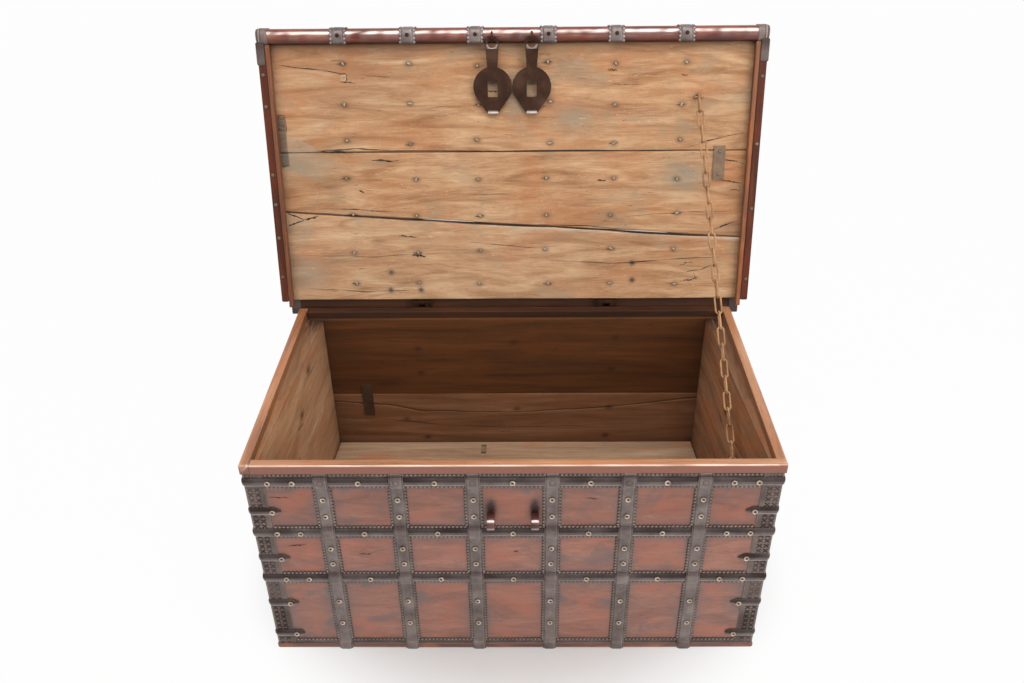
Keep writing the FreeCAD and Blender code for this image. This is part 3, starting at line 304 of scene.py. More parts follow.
def ironFinish(name, look):
    # Forged iron, waxed over old rust: grey-brown, hammered in shallow dents and pitted. The piece carries a
    # wear mark, worn bright and on some pieces a painted highlight, and a grime mark, dark brown grime in the
    # angles and on some pieces painted shade.
    material, tree, shader = newMaterial(name)
    place = addNode(tree, "TexCoord").outputs["Object"]
    marks = readMarks(tree, "wearAndHighlight", "grimeAndShade")
    cloud = addNode(tree, "TexNoise", Vector=place, Scale=1000.0 / look["patchMm"], Detail=5.0, Roughness=0.6)
    grit = addNode(tree, "TexNoise", Vector=place, Scale=1000.0 / look["gritMm"], Detail=3.0,
                   Roughness=0.7).outputs["Fac"]
    rust = addNode(tree, "MapRange", Value=grit, From_Min=look["rustFrom"], From_Max=look["rustFrom"] + 0.12,
                   To_Min=0.0, To_Max=look["rustDepth"])
    colour = colourSteps(tree, cloud.outputs["Fac"], (0.32, 0.5, 0.68), look["tones"])
    for factor, over in ((rust.outputs[0], "rust"), (marks["grimeAndShade"], "grimeAndShade"), (marks["wearAndHighlight"], "rubbedAndHighlight")):
        colour = addNode(tree, "Mix", {"data_type": "RGBA"}, in0=factor, in6=colour,
                         in7=toLinear(look[over])).outputs[2]
    gloss = addNode(tree, "MapRange", Value=grit, From_Min=0.3, From_Max=0.7, To_Min=look["roughness"] - 0.1,
                    To_Max=look["roughness"] + 0.12)
    dulled = addNode(tree, "Math", {"operation": "MULTIPLY_ADD"}, in0=marks["grimeAndShade"], in1=0.3,
                     in2=gloss.outputs[0])
    hammer = addNode(tree, "TexVoronoi", {"feature": "SMOOTH_F1"}, Vector=place,
                     Scale=1000.0 / look["dentMm"], Smoothness=0.6)
    height = addNode(tree, "Math", {"operation": "MULTIPLY_ADD"}, in0=grit, in1=0.25,
                     in2=hammer.outputs["Distance"])
    bump = addNode(tree, "Bump", Height=height.outputs[0], Strength=look["relief"], Distance=0.001)
    setInputs(tree, shader, Base_Color=colour, Roughness=dulled.outputs[0], Normal=bump.outputs[0],
              Metallic=look["metallic"], Specular_IOR_Level=look["specular"])
    return material


def brassFinish(name, look):
    # Cast brass studs: pale gold where hands and polish reach, nearly black in the sunk middle, and darker on
    # one side of each stud by a painted shade.
    material, tree, shader = newMaterial(name)
    place = addNode(tree, "TexCoord").outputs["Object"]
    groove = readMarks(tree, "groove")["groove"]
    tarnish = addNode(tree, "TexNoise", Vector=place, Scale=1000.0 / look["tarnishMm"],
                      Detail=4.0).outputs["Fac"]
    tone = colourSteps(tree, tarnish, (0.35, 0.6), (look["dull"], look["bright"]))
    sunk = addNode(tree, "Mix", {"data_type": "RGBA"}, in0=groove, in6=tone, in7=toLinear(look["sunk"]))
    bump = addNode(tree, "Bump", Height=tarnish, Strength=0.2, Distance=0.0005)
    setInputs(tree, shader, Base_Color=sunk.outputs[2], Normal=bump.outputs[0], Metallic=0.2, Roughness=0.35)
    return material


def splitFinish(name, look):
    # The inside of a crack as painted shade: nearly black, a little browner where dust lies in it.
    material, tree, shader = newMaterial(name)
    place = addNode(tree, "TexCoord").outputs["Object"]
    depth = addNode(tree, "TexNoise", Vector=place, Scale=1000.0 / look["dustMm"], Detail=2.0)
    shade = colourSteps(tree, depth.outputs["Fac"], (0.35, 0.7), (look["deep"], look["dust"]))
    setInputs(tree, shader, Base_Color=shade, Roughness=0.9)
    return material


# layers: width across the grain in mm, length over width, detail, waviness
# masks: where it starts, its edge, its depth; tones: dark, middle and light of the figure
sawnWood = dict(
    layers=dict(figure=(26, 14, 5, 0.5), grain=(4.4, 24, 5, 0.3), nick=(2.6, 8, 2, 0.0),
                warm=(80, 2.2, 5, 0.6), cloud=(60, 1.8, 6, 0.4)),
    masks=dict(nick=(0.67, 0.05, 0.55), warm=(0.52, 0.12, 0.5), cloud=(0.55, 0.12, 0.4)),
    nick="#3a2414", warm="#b06a3c", hazeAndShade="#7d6a5c", stainAndShade="#2a1a10", wearAndHighlight="#cdb092",
    grainDark=0.8, grainLight=1.14, roughness=0.62, relief=0.4, wax=0.0, coatRough=0.28, coatIor=1.5,
    specular=0.5,
)
waxed = dict(sawnWood, roughness=0.38, relief=0.18, wax=0.3)
endGrain = dict(sawnWood, roughness=0.75, specular=0.3, grainDark=0.8, grainLight=1.12,
                layers=dict(sawnWood["layers"], figure=(36, 7, 6, 0.9), grain=(3.6, 16, 6, 0.8)))
finishes = dict(
    panelWood=dict(waxed, tones=("#7a4938", "#945e4b", "#a8715c"), warm="#a95f44", hazeAndShade="#6b5854",
                   nick="#3c1e16", stainAndShade="#2a0f0a", wearAndHighlight="#b0694a", grainDark=0.77, grainLight=1.18,
                   layers=dict(figure=(34, 4, 6, 0.9), grain=(3.8, 6, 7, 0.9), nick=(3.2, 2.4, 3, 0.4),
                               warm=(70, 1.9, 6, 0.7), cloud=(55, 1.4, 6, 0.5)),
                   masks=dict(nick=(0.662, 0.05, 0.65), warm=(0.47, 0.14, 0.7), cloud=(0.54, 0.12, 0.6))),
    # rimWood: the wear colour is the painted highlight on the top edge, the haze colour painted shade on the
    # outer face, and the stain colour painted shade under the lip and on the inner face
    rimWood=dict(waxed, tones=("#83502f", "#a66f4b", "#bb8660"), warm="#a9652f", hazeAndShade="#875340",
                 wearAndHighlight="#f2d2c2", stainAndShade="#3a2014", nick="#4c2a18", grainDark=0.72, grainLight=1.16,
                 masks=dict(nick=(0.655, 0.05, 0.6), warm=(0.5, 0.12, 0.5), cloud=(0.66, 0.1, 0.4))),
    # baseWood: its haze colour is painted shade along the top edge
    baseWood=dict(waxed, tones=("#4c2618", "#6e3c29", "#8a5136"), hazeAndShade="#4a3028", wearAndHighlight="#a5694a"),
    # painted shade: a darker copy for the back rim and the lid's back rail, which lie in the open lid's
    # shadow
    shadedRimWood=dict(waxed, tones=("#2c170c", "#3f2312", "#52301b"), warm="#4d2a15", hazeAndShade="#33211a",
                 wearAndHighlight="#7a5238", wax=0.05, specular=0.25, roughness=0.6),
    lidWood=dict(sawnWood, tones=("#8b5d38", "#b0855e", "#c5a17a"), warm="#aa6a3c", hazeAndShade="#8f806a",
                 wearAndHighlight="#ead9c0", chip="#dcc09a", saw="#cfa87e", stainAndShade="#33211a", nick="#5d3a20",
                 roughness=0.72, relief=0.7, grainDark=0.82, grainLight=1.14,
                 layers=dict(figure=(30, 6, 7, 1.1), grain=(2.9, 16, 7, 1.0), nick=(2.8, 8, 4, 0.4),
                             warm=(110, 1.7, 7, 0.9), cloud=(70, 1.5, 7, 0.6), chip=(3.4, 4, 5, 0.6),
                             saw=(50, 0.05, 4, 1.2)),
                 masks=dict(nick=(0.65, 0.08, 0.7), warm=(0.48, 0.2, 0.6), cloud=(0.55, 0.14, 0.5),
                            chip=(0.62, 0.1, 0.4), saw=(0.55, 0.2, 0.1))),
    # on the inner faces of the end and back boards, the stain colour is painted shade towards the corners,
    # floor and rim, and the knots
    endWood=dict(endGrain, tones=("#7d5335", "#9c6f4f", "#ad8260"), hazeAndShade="#7b624d", wearAndHighlight="#c8a480",
                 stainAndShade="#241006"),
    # painted light: a lighter copy of the end wood for the left end, whose inner face the light from the
    # right falls on
    endLeftLitWood=dict(endGrain, tones=("#976c47", "#b68a66", "#c59d7a"), hazeAndShade="#927860", wearAndHighlight="#dcc0a0",
                     stainAndShade="#2e170a"),
    liningWood=dict(sawnWood, tones=("#58331f", "#764830", "#8f6144"), hazeAndShade="#6b4f3c", wearAndHighlight="#b89a78",
                    roughness=0.6, specular=0.3),
    # painted shade: a darker copy for the top back board, which lies in the open lid's shadow; the floor
    # bearers take it too
    backShadedWood=dict(sawnWood, tones=("#402511", "#543015", "#62391c"), warm="#5b3215", hazeAndShade="#45321b",
                  wearAndHighlight="#8a6a4c", nick="#1d0f07", roughness=0.8, specular=0.2, grainDark=0.86,
                  grainLight=1.1),
    backLowWood=dict(sawnWood, tones=("#5f3c24", "#7a5338", "#8b6448"), warm="#764a2a", hazeAndShade="#6d523c",
                     wearAndHighlight="#9a7a5c", roughness=0.8, specular=0.25, grainDark=0.86, grainLight=1.1),
    floorWood=dict(sawnWood, tones=("#8a6a50", "#a58466", "#ba9c7e"), hazeAndShade="#8e7a66", wearAndHighlight="#c8b090",
                   roughness=0.8),
    # railWood: its wear colour is the painted highlight on the rail, its stain colour painted shade on the
    # inner side
    railWood=dict(waxed, tones=("#3a0f06", "#642310", "#8a4226"), warm="#8a3c1c", hazeAndShade="#4c2a20",
                  stainAndShade="#1a0a05", wearAndHighlight="#ffeae0", roughness=0.4, relief=0.2, wax=0.4, coatRough=0.14,
                  specular=0.25, grainDark=0.66, grainLight=1.22,
                  layers=dict(figure=(12, 9, 6, 0.9), grain=(2.6, 16, 6, 0.9), nick=(2.6, 8, 2, 0.0),
                              warm=(40, 2.2, 5, 0.6), cloud=(50, 1.8, 6, 0.4))),
    sideRailWood=dict(waxed, tones=("#2b0f07", "#4e210f", "#6c351c"), warm="#6c3015", hazeAndShade="#341f19",
                      stainAndShade="#1a0d08", wearAndHighlight="#9a6446", roughness=0.55, wax=0.0, specular=0.25),
)
woods = {name: woodFinish(name, look) for name, look in finishes.items()}

forged = dict(tones=("#574b48", "#746763", "#897c77"), rust="#4f3830", rubbedAndHighlight="#b4a6a1", grimeAndShade="#33231e",
              rustFrom=0.57, rustDepth=0.5, patchMm=45, gritMm=3.4, dentMm=14, metallic=0.45, roughness=0.42,
              relief=0.25, specular=0.5)
ironLooks = dict(
    strapIron=forged,
    # bandIron: the rubbed colour is a painted highlight on the lower shoulder of the bands and clips, and the
    # grime colour is grime with painted shade on the upper slope
    bandIron=dict(forged, tones=("#504441", "#665a57", "#776b68"), rubbedAndHighlight="#cbbfbb", grimeAndShade="#281a15"),
    # beadIron: the rubbed colour is a painted highlight on the bead tops, also worn, and the grime colour
    # partly painted shade between them
    beadIron=dict(forged, tones=("#463935", "#5e504b", "#72635c"), rubbedAndHighlight="#b3a393", grimeAndShade="#241610",
                  metallic=0.3),
    # plateIron: its grime colour is painted shade in the sunk crosses, and grime
    plateIron=dict(forged, tones=("#544641", "#6b5b55", "#7d6e68"), grimeAndShade="#2a1611", metallic=0.25,
                   roughness=0.5),
    capIron=dict(forged, tones=("#4a3a35", "#66564f", "#7d6d66"), rubbedAndHighlight="#b09e98", grimeAndShade="#2e1a12",
                 metallic=0.15, roughness=0.45),
    # haspIron: its rubbed colour is worn under the eye hole and a painted highlight on the tab
    haspIron=dict(forged, tones=("#28180f", "#3b251a", "#4d3629"), rust="#341f14", rubbedAndHighlight="#e4d8d2",
                  metallic=0.1, roughness=0.68, specular=0.15),
    chainIron=dict(forged, tones=("#7e573c", "#a2774f", "#ba9069"), rust="#80492a", rubbedAndHighlight="#cba67e",
                   metallic=0.05, roughness=0.7, dentMm=5, gritMm=1.6),
    mendIron=dict(forged, tones=("#5f4a38", "#77604a", "#8d755b"), rust="#5e3f2a", metallic=0.15,
                  roughness=0.6),
    # painted shade: a near-black finish for the hinge leaves, the colour of the rail in shade
    hingeShadeIron=dict(forged, tones=("#20130b", "#2e1c11", "#3b281a"), rust="#26160c", metallic=0.0,
                  roughness=0.85, specular=0.1),
    wallIron=dict(forged, tones=("#33241a", "#423022", "#513d2c"), rust="#38261a", metallic=0.0,
                  roughness=0.8, specular=0.15),
    # stapleIron: its rubbed colour is the painted highlight on the staples
    stapleIron=dict(forged, tones=("#3c1d16", "#57322b", "#704d46"), rust="#4a2418", rubbedAndHighlight="#efe4e0",
                    metallic=0.2, roughness=0.4),
    nailIron=dict(forged, tones=("#6e5945", "#8a7358", "#a08a6c"), rubbedAndHighlight="#c4b7a6", grimeAndShade="#2c1d13",
                  metallic=0.2, dentMm=4, gritMm=1.2, roughness=0.5),
)
irons = {name: ironFinish(name, look) for name, look in ironLooks.items()}
studBrass = brassFinish("studBrass", dict(dull="#cfb494", bright="#f4e7d2", sunk="#3a2017", tarnishMm=5))
splitShadow = splitFinish("splitShadow", dict(deep="#1a100a", dust="#3a2616", dustMm=50 / 11))
print("materials ready")


# Boards

def boardProfile(nWide, nThin, nArc=3):
    # once round a rounded rectangle as rows (a, b, c, s); a point is (a*(half - r) + r*c, b*(half - r) + r*s)
    wide = np.linspace(-1, 1, nWide + 2)[1:-1]
    thin = np.linspace(-1, 1, nThin + 2)[1:-1]
    arc = np.linspace(0, np.pi / 2, nArc + 1)
    sides = ((wide, -1.0, 0.0, -1.0), (1.0, thin, 1.0, 0.0), (-wide, 1.0, 0.0, 1.0), (-1.0, -thin, -1.0, 0.0))
    corners = ((1.0, -1.0), (1.0, 1.0), (-1.0, 1.0), (-1.0, -1.0))
    rows = []
    for number, (side, corner) in enumerate(zip(sides, corners)):
        angle = arc + (number - 1) * np.pi / 2
        rows += [side, (*corner, np.cos(angle), np.sin(angle))]
    return np.vstack([np.stack(np.broadcast_arrays(*row), -1) for row in rows]).T


def wornBoard(low, high, order, seed, soft=0.002, dent=0.0004, step=0.006, edges=None, walls=None, fine=None):
    # A rounded rectangle carried along the grain. Its corner radius swells with a slow ripple, its ends are
    # rounded over by the same radius, and its wide faces sink by a finer ripple, always inwards. Edges and
    # walls, where given, are functions of the length that say where the narrow and the wide faces lie; fine
    # is the mesh step across.
    along, across, through = order
    length, width = high[along] - low[along], high[across] - low[across]
    nLong = max(8, int(length / step))
    nWide = max(3, int(width / (fine or step)))
    nThin = int((high[through] - low[through]) / fine) if fine else 1
    a, b, c, s = (row[None, :] for row in boardProfile(nWide, nThin))
    inset = np.array([0.0, 0.3, 1.0]) * soft
    middleRun = np.linspace(soft, length - soft, nLong)[1:-1]
    run = np.concatenate([inset, middleRun, length - inset[::-1]])[:, None]
    end = np.clip(soft - np.minimum(run, length - run), 0, soft)
    shrink = soft - np.sqrt(np.maximum(soft ** 2 - end ** 2, 0))
    radius = soft * (0.72 + 0.28 * ripple(run * 21, 0.0, seed))
    at = run + low[along]
    lowEdge, highEdge = edges(at) if edges else (low[across], high[across])
    lowWall, highWall = walls(at) if walls else (low[through], high[through])
    halfWide = (highEdge - lowEdge) / 2 - shrink
    halfThick = (highWall - lowWall) / 2 - shrink
    acrossAt = (lowEdge + highEdge) / 2 + a * (halfWide - radius) + radius * c
    sink = dent * (0.5 + 0.5 * ripple(run * 30, acrossAt * 60, seed + 1)) * np.abs(s) * (1 - np.abs(c))
    grid = np.zeros((*acrossAt.shape, 3))
    grid[..., along] = at
    grid[..., across] = acrossAt
    grid[..., through] = (lowWall + highWall) / 2 + b * (halfThick - radius) + radius * s - s * sink
    shift = np.random.default_rng(seed).uniform(-3, 3, 3)
    grain = grid[..., list(order)] + shift
    return grid.reshape(-1, 3), tubeFaces(*acrossAt.shape), {"grain": grain.reshape(-1, 3)}


def boxBoard(low, high, *rest, **settings):
    # a worn board between two corners given as plain numbers
    return wornBoard(np.array(low), np.array(high), *rest, **settings)


def outerFinish(piece, faces, outer, material):
    # the faces whose corners all lie on the outer side take the stained finish of the front, and no end does
    piece.data.materials.append(material)
    index = np.append(outer[np.array(faces[:-2])].all(1), [0, 0])
    piece.data.polygons.foreach_set("material_index", index.astype(np.int32))


# Chest boards: grain order (along, across, through), finish, seed, corner radius
grainX, grainXFlat, grainY, grainYFlat = (0, 2, 1), (0, 1, 2), (1, 2, 0), (1, 0, 2)
chestBoards = dict(
    front_board_bottom=(grainX, "panelWood", 11, 0.0015),
    front_board_middle=(grainX, "panelWood", 12, 0.0015),
    front_board_top=(grainX, "panelWood", 13, 0.0015),
    back_board_bottom=(grainX, "backLowWood", 21, 0.003),
    back_board_middle=(grainX, "backLowWood", 22, 0.0035),
    back_board_top=(grainX, "backShadedWood", 23, 0.003),
    end_left_lower=(grainY, "endLeftLitWood", 31, 0.003),
    end_left_upper=(grainY, "endLeftLitWood", 32, 0.0025),
    end_right_lower=(grainY, "endWood", 33, 0.003),
    end_right_upper=(grainY, "endWood", 34, 0.0025),
    floor_board_front=(grainXFlat, "floorWood", 41, 0.002),
    floor_board_back=(grainXFlat, "floorWood", 42, 0.002),
    base_board=(grainXFlat, "baseWood", 51, 0.004),
    rim_front=(grainXFlat, "rimWood", 61, 0.0014),
    rim_left=(grainYFlat, "rimWood", 62, 0.0014),
    rim_right=(grainYFlat, "rimWood", 63, 0.0014),
    rim_back=(grainXFlat, "shadedRimWood", 64, 0.0016),
)
# the end boards thicken towards the back
endInside = dict(front=-0.242, back=0.246, atFront=0.456, atBack=0.425)
backCrack = dict(x=(-0.43, -0.41, -0.29, -0.22, -0.02, 0.22, 0.43), half=0.001, wander=0.0015, top=0.2595,
                 z=(0.238, 0.237, 0.226, 0.209, 0.204, 0.219, 0.245))
ironwork = dict(straps=(0.0705, 0.206, 0.340), bands=(0.200, 0.319, 0.441), sideStraps=(0.110,),
                staples=0.040, stapleTop=0.365, rimLow=0.460)


def insideAt(y):
    # the inner face of an end board, a straight line from its front value to its back value
    share = (y - endInside["front"]) / (endInside["back"] - endInside["front"])
    return endInside["atFront"] + (endInside["atBack"] - endInside["atFront"]) * share


def endWalls(hand):
    # the wide faces of an end board at each y, the lower x first
    return lambda y: tuple(np.sort([hand * carcass["x"] + 0 * y, hand * insideAt(y)], axis=0))


def crackAt(x):
    # straight lines between the points of the crack, and a slow ripple on them
    return np.interp(x, backCrack["x"], backCrack["z"]) + backCrack["wander"] * ripple(x * 40, 0.0, 9)


boardEdges = dict(
    back_board_bottom=lambda x: (carcass["baseTop"], crackAt(x) - backCrack["half"]),
    back_board_middle=lambda x: (crackAt(x) + backCrack["half"], backCrack["top"]),
)
# dirt with painted shade beside the iron on the front panels, and marks behind the staples
panelDirtAndShade = dict(strap=0.0165, band=0.015, corner=0.440, width=0.015, depth=0.62, topRow=0.31, low=0.12,
                 top=0.14, rub=1.5, rubUp=0.010, rubSize=(0.0085, 0.05, 0.02))


def frontMarks(points):
    # dirt, wax and painted shade gather beside the iron in patches: the haze falls off over 15 mm from
    # straps, bands and corner plates, and is a little stronger low down; a stain lies behind each staple,
    # and the top row is a little darker
    x, z = points[:, 0], points[:, 2]
    strapGap = np.min(np.abs(np.abs(x)[:, None] - ironwork["straps"]), axis=1) - panelDirtAndShade["strap"]
    bandGap = np.min(np.abs(z[:, None] - ironwork["bands"]), axis=1) - panelDirtAndShade["band"]
    gap = np.minimum(np.minimum(strapGap, bandGap), panelDirtAndShade["corner"] - np.abs(x))
    patchy = 0.75 + 0.45 * ripple(x * 28, z * 28, 14)
    hazeAndShade = panelDirtAndShade["depth"] * patchy * fade(gap, panelDirtAndShade["width"])
    hazeAndShade = hazeAndShade + panelDirtAndShade["low"] * ramp(panelDirtAndShade["topRow"] - z, 0.2)
    rub = [(hand * ironwork["staples"], -carcass["y"], ironwork["stapleTop"] + panelDirtAndShade["rubUp"])
           for hand in hands]
    stainAndShade = panelDirtAndShade["rub"] * spots(points, rub, panelDirtAndShade["rubSize"])
    return hazeAndShade, stainAndShade + panelDirtAndShade["top"] * ramp(z - panelDirtAndShade["topRow"], 0.03)


# painted highlight along the rim's top edge, and painted shade on its outer face, under its lip and inside
rimHighlightAndShade = dict(edge=0.0026, front=0.262, frontHighlight=1.3, sideHighlight=0.6, ends=0.466, endHighlight=0.35, face=0.0014,
               faceDeep=0.005, lip=0.0172, lipStain=0.7, inner=0.0155, innerShade=0.45, step=0.0015)


def rimMarks(points):
    # a painted highlight along the outer top edge, weaker at the corners, painted shade on the outer face,
    # a ragged painted shadow under the lip and painted shade on the inner face
    x, y, z = points.T
    outer = np.minimum(carcass["rimX"] - np.abs(x), carcass["rimY"] - np.abs(y))
    drop = carcass["top"] - z
    broken = 0.7 + 0.3 * ripple(x * 60 + y * 60, z, 19)
    edge = np.clip(1 - np.hypot(outer - 0.0005, drop - 0.0005) / rimHighlightAndShade["edge"], 0, 1)
    wearAndHighlight = np.where(y < -rimHighlightAndShade["front"], rimHighlightAndShade["frontHighlight"], rimHighlightAndShade["sideHighlight"]) * broken * edge
    wearAndHighlight = wearAndHighlight * np.where(np.abs(x) > rimHighlightAndShade["ends"], rimHighlightAndShade["endHighlight"], 1.0)
    hazeAndShade = ramp(drop - rimHighlightAndShade["face"], 0.001) * (outer < rimHighlightAndShade["faceDeep"])
    stainAndShade = rimHighlightAndShade["lipStain"] * broken * ramp(drop - rimHighlightAndShade["lip"], 0.002)
    return wearAndHighlight, hazeAndShade, stainAndShade + rimHighlightAndShade["innerShade"] * ramp(outer - rimHighlightAndShade["inner"], 0.002)


# knots on the back as (x, z) and on the ends as (y, z)
knots = dict(size=(0.012, 0.008), backSize=(0.008, 0.006), left=((0.02, 0.372), (-0.11, 0.315), (0.10, 0.43)),
             right=((0.03, 0.368), (-0.08, 0.33)),
             back=((-0.219, 0.386), (-0.216, 0.319), (-0.258, 0.186), (-0.211, 0.131), (0.227, 0.413),
                   (0.222, 0.328), (-0.001, 0.403), (0.222, 0.219), (0.005, 0.215), (0.217, 0.135)))
# strengths and widths of the painted shade inside the chest
insideShade = dict(floor=0.012, backCorner=0.03, endCorner=0.05, wideCorner=0.12, underRim=0.006,
                  topEdge=0.4615, upper=0.30, inner=0.46)


def insideMarks(points, node):
    # painted shade towards the inner back corners, the floor and the rim and along the top edge, and knots
    # as small dark rounds
    x, y, z = points.T
    low = 0.5 * fade(z - carcass["floorTop"], insideShade["floor"])
    if node.startswith("back"):
        corner = 0.35 * fade(endInside["atBack"] - np.abs(x), insideShade["backCorner"])
        return corner + low + 0.8 * spots(points[:, [0, 2]], knots["back"], knots["backSize"])
    inner = np.abs(x) < insideShade["inner"]
    corner = endInside["back"] - y
    knotted = 0.9 * spots(points[:, 1:], knots["left" if "left" in node else "right"], knots["size"])
    under = 0.15 * fade(carcass["boardTop"] - z, insideShade["underRim"])
    shadow = 0.2 * fade(corner, insideShade["wideCorner"]) * ramp(z - insideShade["upper"], 0.15)
    topEdge = 0.3 * ramp(z - insideShade["topEdge"], 0.001)
    return 0.4 * fade(corner, insideShade["endCorner"]) + low + inner * (knotted + under + shadow) + topEdge


outerSide = dict(end=0.4735, back=0.2635, lid=0.0135)  # beyond these a board shows its outer finish
for node, (order, finish, seed, soft) in chestBoards.items():
    kind = node.split("_")[0]
    low, high = chestBox(node)
    if kind == "rim":
        low[2] = ironwork["rimLow"]  # the rim's lip hangs a few millimetres over the boards
    walls = endWalls(-1 if "left" in node else 1) if kind == "end" else None
    points, faces, marks = wornBoard(low, high, order, seed, soft, edges=boardEdges.get(node), walls=walls,
                                     fine=rimHighlightAndShade["step"] if kind == "rim" else None)
    if kind == "floor":
        points[:, 0] *= insideAt(points[:, 1]) / high[0]
    if kind == "front":
        marks["hazeAndShade"], marks["stainAndShade"] = frontMarks(points)
    if kind == "rim":
        marks["wearAndHighlight"], marks["hazeAndShade"], marks["stainAndShade"] = rimMarks(points)
    if kind == "base":
        # painted shade along the top edge of the base board
        marks["hazeAndShade"] = ramp(points[:, 2] - 0.009, 0.004)
    if kind in ("back", "end"):
        marks["stainAndShade"] = insideMarks(points, node)
    piece = makePiece("wood_" + node, points, faces, "chest", woods[finish], [node], marks)
    if kind in ("back", "end"):
        reach = points[:, 1] if kind == "back" else np.abs(points[:, 0])
        outerFinish(piece, faces, reach > outerSide[kind], woods["panelWood"])
print("chest boards done")


# Lid boards, made shut and then turned open
lidBoards = dict(
    lid_plank_front=(grainXFlat, "lidWood", 71, 0.0025),
    lid_plank_middle=(grainXFlat, "lidWood", 72, 0.0035),
    lid_plank_back=(grainXFlat, "lidWood", 73, 0.0035),
    lid_rail_left=(grainYFlat, "sideRailWood", 74, 0.003),
    lid_rail_right=(grainYFlat, "sideRailWood", 75, 0.003),
    lid_back_rail=(grainXFlat, "shadedRimWood", 76, 0.003),
)
underside = -0.008  # the planks' lower face in the lid's own frame
plankSides = 0.490  # where the liners begin, from the centre
lidSeams = dict(front=-0.334, left=-0.208, right=-0.147, half=0.499, gap=0.00075, rough=(0.0008, 0.0016))
lidNails = dict(columns=(-0.350, -0.210, -0.0735, 0.0735, 0.210, 0.350), first=-0.552, last=-0.009, rows=7,
                stray=0.005)
nailStep = (lidNails["last"] - lidNails["first"]) / lidNails["rows"]
nailRows = lidNails["first"] + nailStep * (np.arange(lidNails["rows"]) + 0.55)
nailGrid = np.meshgrid(lidNails["columns"], nailRows, [underside], indexing="ij")
nailSpots = np.stack(nailGrid, -1).reshape(-1, 3)
stray = lidNails["stray"]
nailSpots[:, :2] += np.random.default_rng(31).uniform(-stray, stray, (len(nailSpots), 2))
# marks under the planks: how strong, how large, and where as (x, back)
lidStains = dict(
    nails=(0.8, (0.008, 0.0055), nailSpots[:, :2]),
    knots=(0.28, (0.022, 0.016), ((-0.385, -0.262), (-0.378, -0.240), (0.40, -0.43), (0.47, -0.25),
                                  (0.47, -0.17), (-0.48, -0.10), (-0.47, -0.05))),
    # painted shadow of each hasp on the plank, seen through its slot
    slotShadows=(0.9, (0.016, 0.006), ((-0.040, -0.473), (0.040, -0.474))),
    holes=(1.1, (0.006, 0.006), ((-0.273, -0.031), (-0.206, -0.031), (-0.27, -0.072), (0.381, -0.444),
                                 (0.2594, -0.0904), (0.2608, -0.0516))),
    dirt=(0.7, (0.045, 0.03), ((-0.44, -0.31), (0.13, -0.40), (0.36, -0.28), (0.02, -0.45), (0.0, -0.46),
                               (-0.45, -0.07))),
)
repair = dict(left=-0.490, right=-0.473, front=-0.412, back=-0.306, wedge=0.063, wedgeFront=-0.378,
              wedgeBack=-0.322)


def lidSpots(points, kind):
    depth, size, places = lidStains[kind]
    return depth * spots(points, [(x, back, underside) for x, back in places], (*size, 0.02))


def repairMask(points):
    # an old repair at the left: an upright bar, and a ragged wedge that narrows to the first seam's start
    x = points[:, 0]
    back = points[:, 1] + 0.004 * ripple(x * 160, points[:, 1] * 160, 41)
    bar = (x > repair["left"]) & (x < repair["right"]) & (back > repair["front"]) & (back < repair["back"])
    share = ramp(x - repair["right"], repair["wedge"])
    wedge = (x >= repair["right"]) & (share < 1) & (back > repair["wedgeFront"] + 0.036 * share)
    wedge = wedge & (back < repair["wedgeBack"] - 0.016 * share)
    return bar.astype(float), wedge.astype(float)


def slantedSeam(x):
    # a straight line from the seam's left end to its right end
    share = (x + lidSeams["half"]) / (2 * lidSeams["half"])
    return lidSeams["left"] + (lidSeams["right"] - lidSeams["left"]) * share


def seamEdge(x, way, pace, seed):
    # an edge before or behind the slanted seam: half the gap away and eaten back by a slow ripple
    rough = lidSeams["rough"][way > 0]
    return slantedSeam(x) + way * (lidSeams["gap"] + rough * (1 + ripple(x * pace, 0.0, seed)))


plankEdges = dict(
    lid_plank_middle=lambda x: (lidSeams["front"] + lidSeams["gap"], seamEdge(x, -1, 18, 5)),
    lid_plank_back=lambda x: (seamEdge(x, 1, 16, 6), lidNails["last"]),
)


def plankMarks(points, node):
    # stains round nails, knots and holes, painted shadow behind each hasp's slot, a dark left front, painted
    # shade along the front edge and sides, the old repair, and on the back plank a worn edge along the seam
    x, back, z = points.T
    under = ramp(-0.002 - z, 0.003)
    bar, wedge = repairMask(points)
    stainAndShade = sum(lidSpots(points, kind) for kind in ("nails", "knots", "slotShadows", "holes")) + 0.5 * bar
    stainAndShade = stainAndShade + 0.14 * bell(x + 0.32, 0.15) * ramp(-0.38 - back, 0.08)
    # painted shade along the front edge beside the rail, and along the sides
    stainAndShade = stainAndShade + 0.55 * fade(back - lidNails["first"], 0.012) + 0.4 * fade(plankSides - np.abs(x), 0.01)
    hazeAndShade = lidSpots(points, "dirt") + 0.6 * bar + 0.3 * wedge
    wearAndHighlight = 0.06 * under * wedge
    if node == "lid_plank_back":
        seam = fade(back - slantedSeam(x), 0.004)
        wearAndHighlight = 0.05 * under * ramp(0.35 - x, 0.3) + 0.8 * seam * ramp(x + 0.15, 0.25)
    return dict(stainAndShade=under * stainAndShade, hazeAndShade=under * hazeAndShade, wearAndHighlight=wearAndHighlight)


for node, (order, finish, seed, soft) in lidBoards.items():
    low, high = lidBox(node)
    points, faces, marks = wornBoard(low, high, order, seed, soft, dent=0.0006, step=0.0034,
                                     edges=plankEdges.get(node))
    plank = node.startswith("lid_plank")
    if plank:
        marks.update(plankMarks(points, node))
    piece = makePiece("wood_" + node, onLid(points), faces, "lid", woods[finish],
                      [node], marks)
    if plank:
        outerFinish(piece, faces, points[:, 2] > outerSide["lid"], woods["panelWood"])

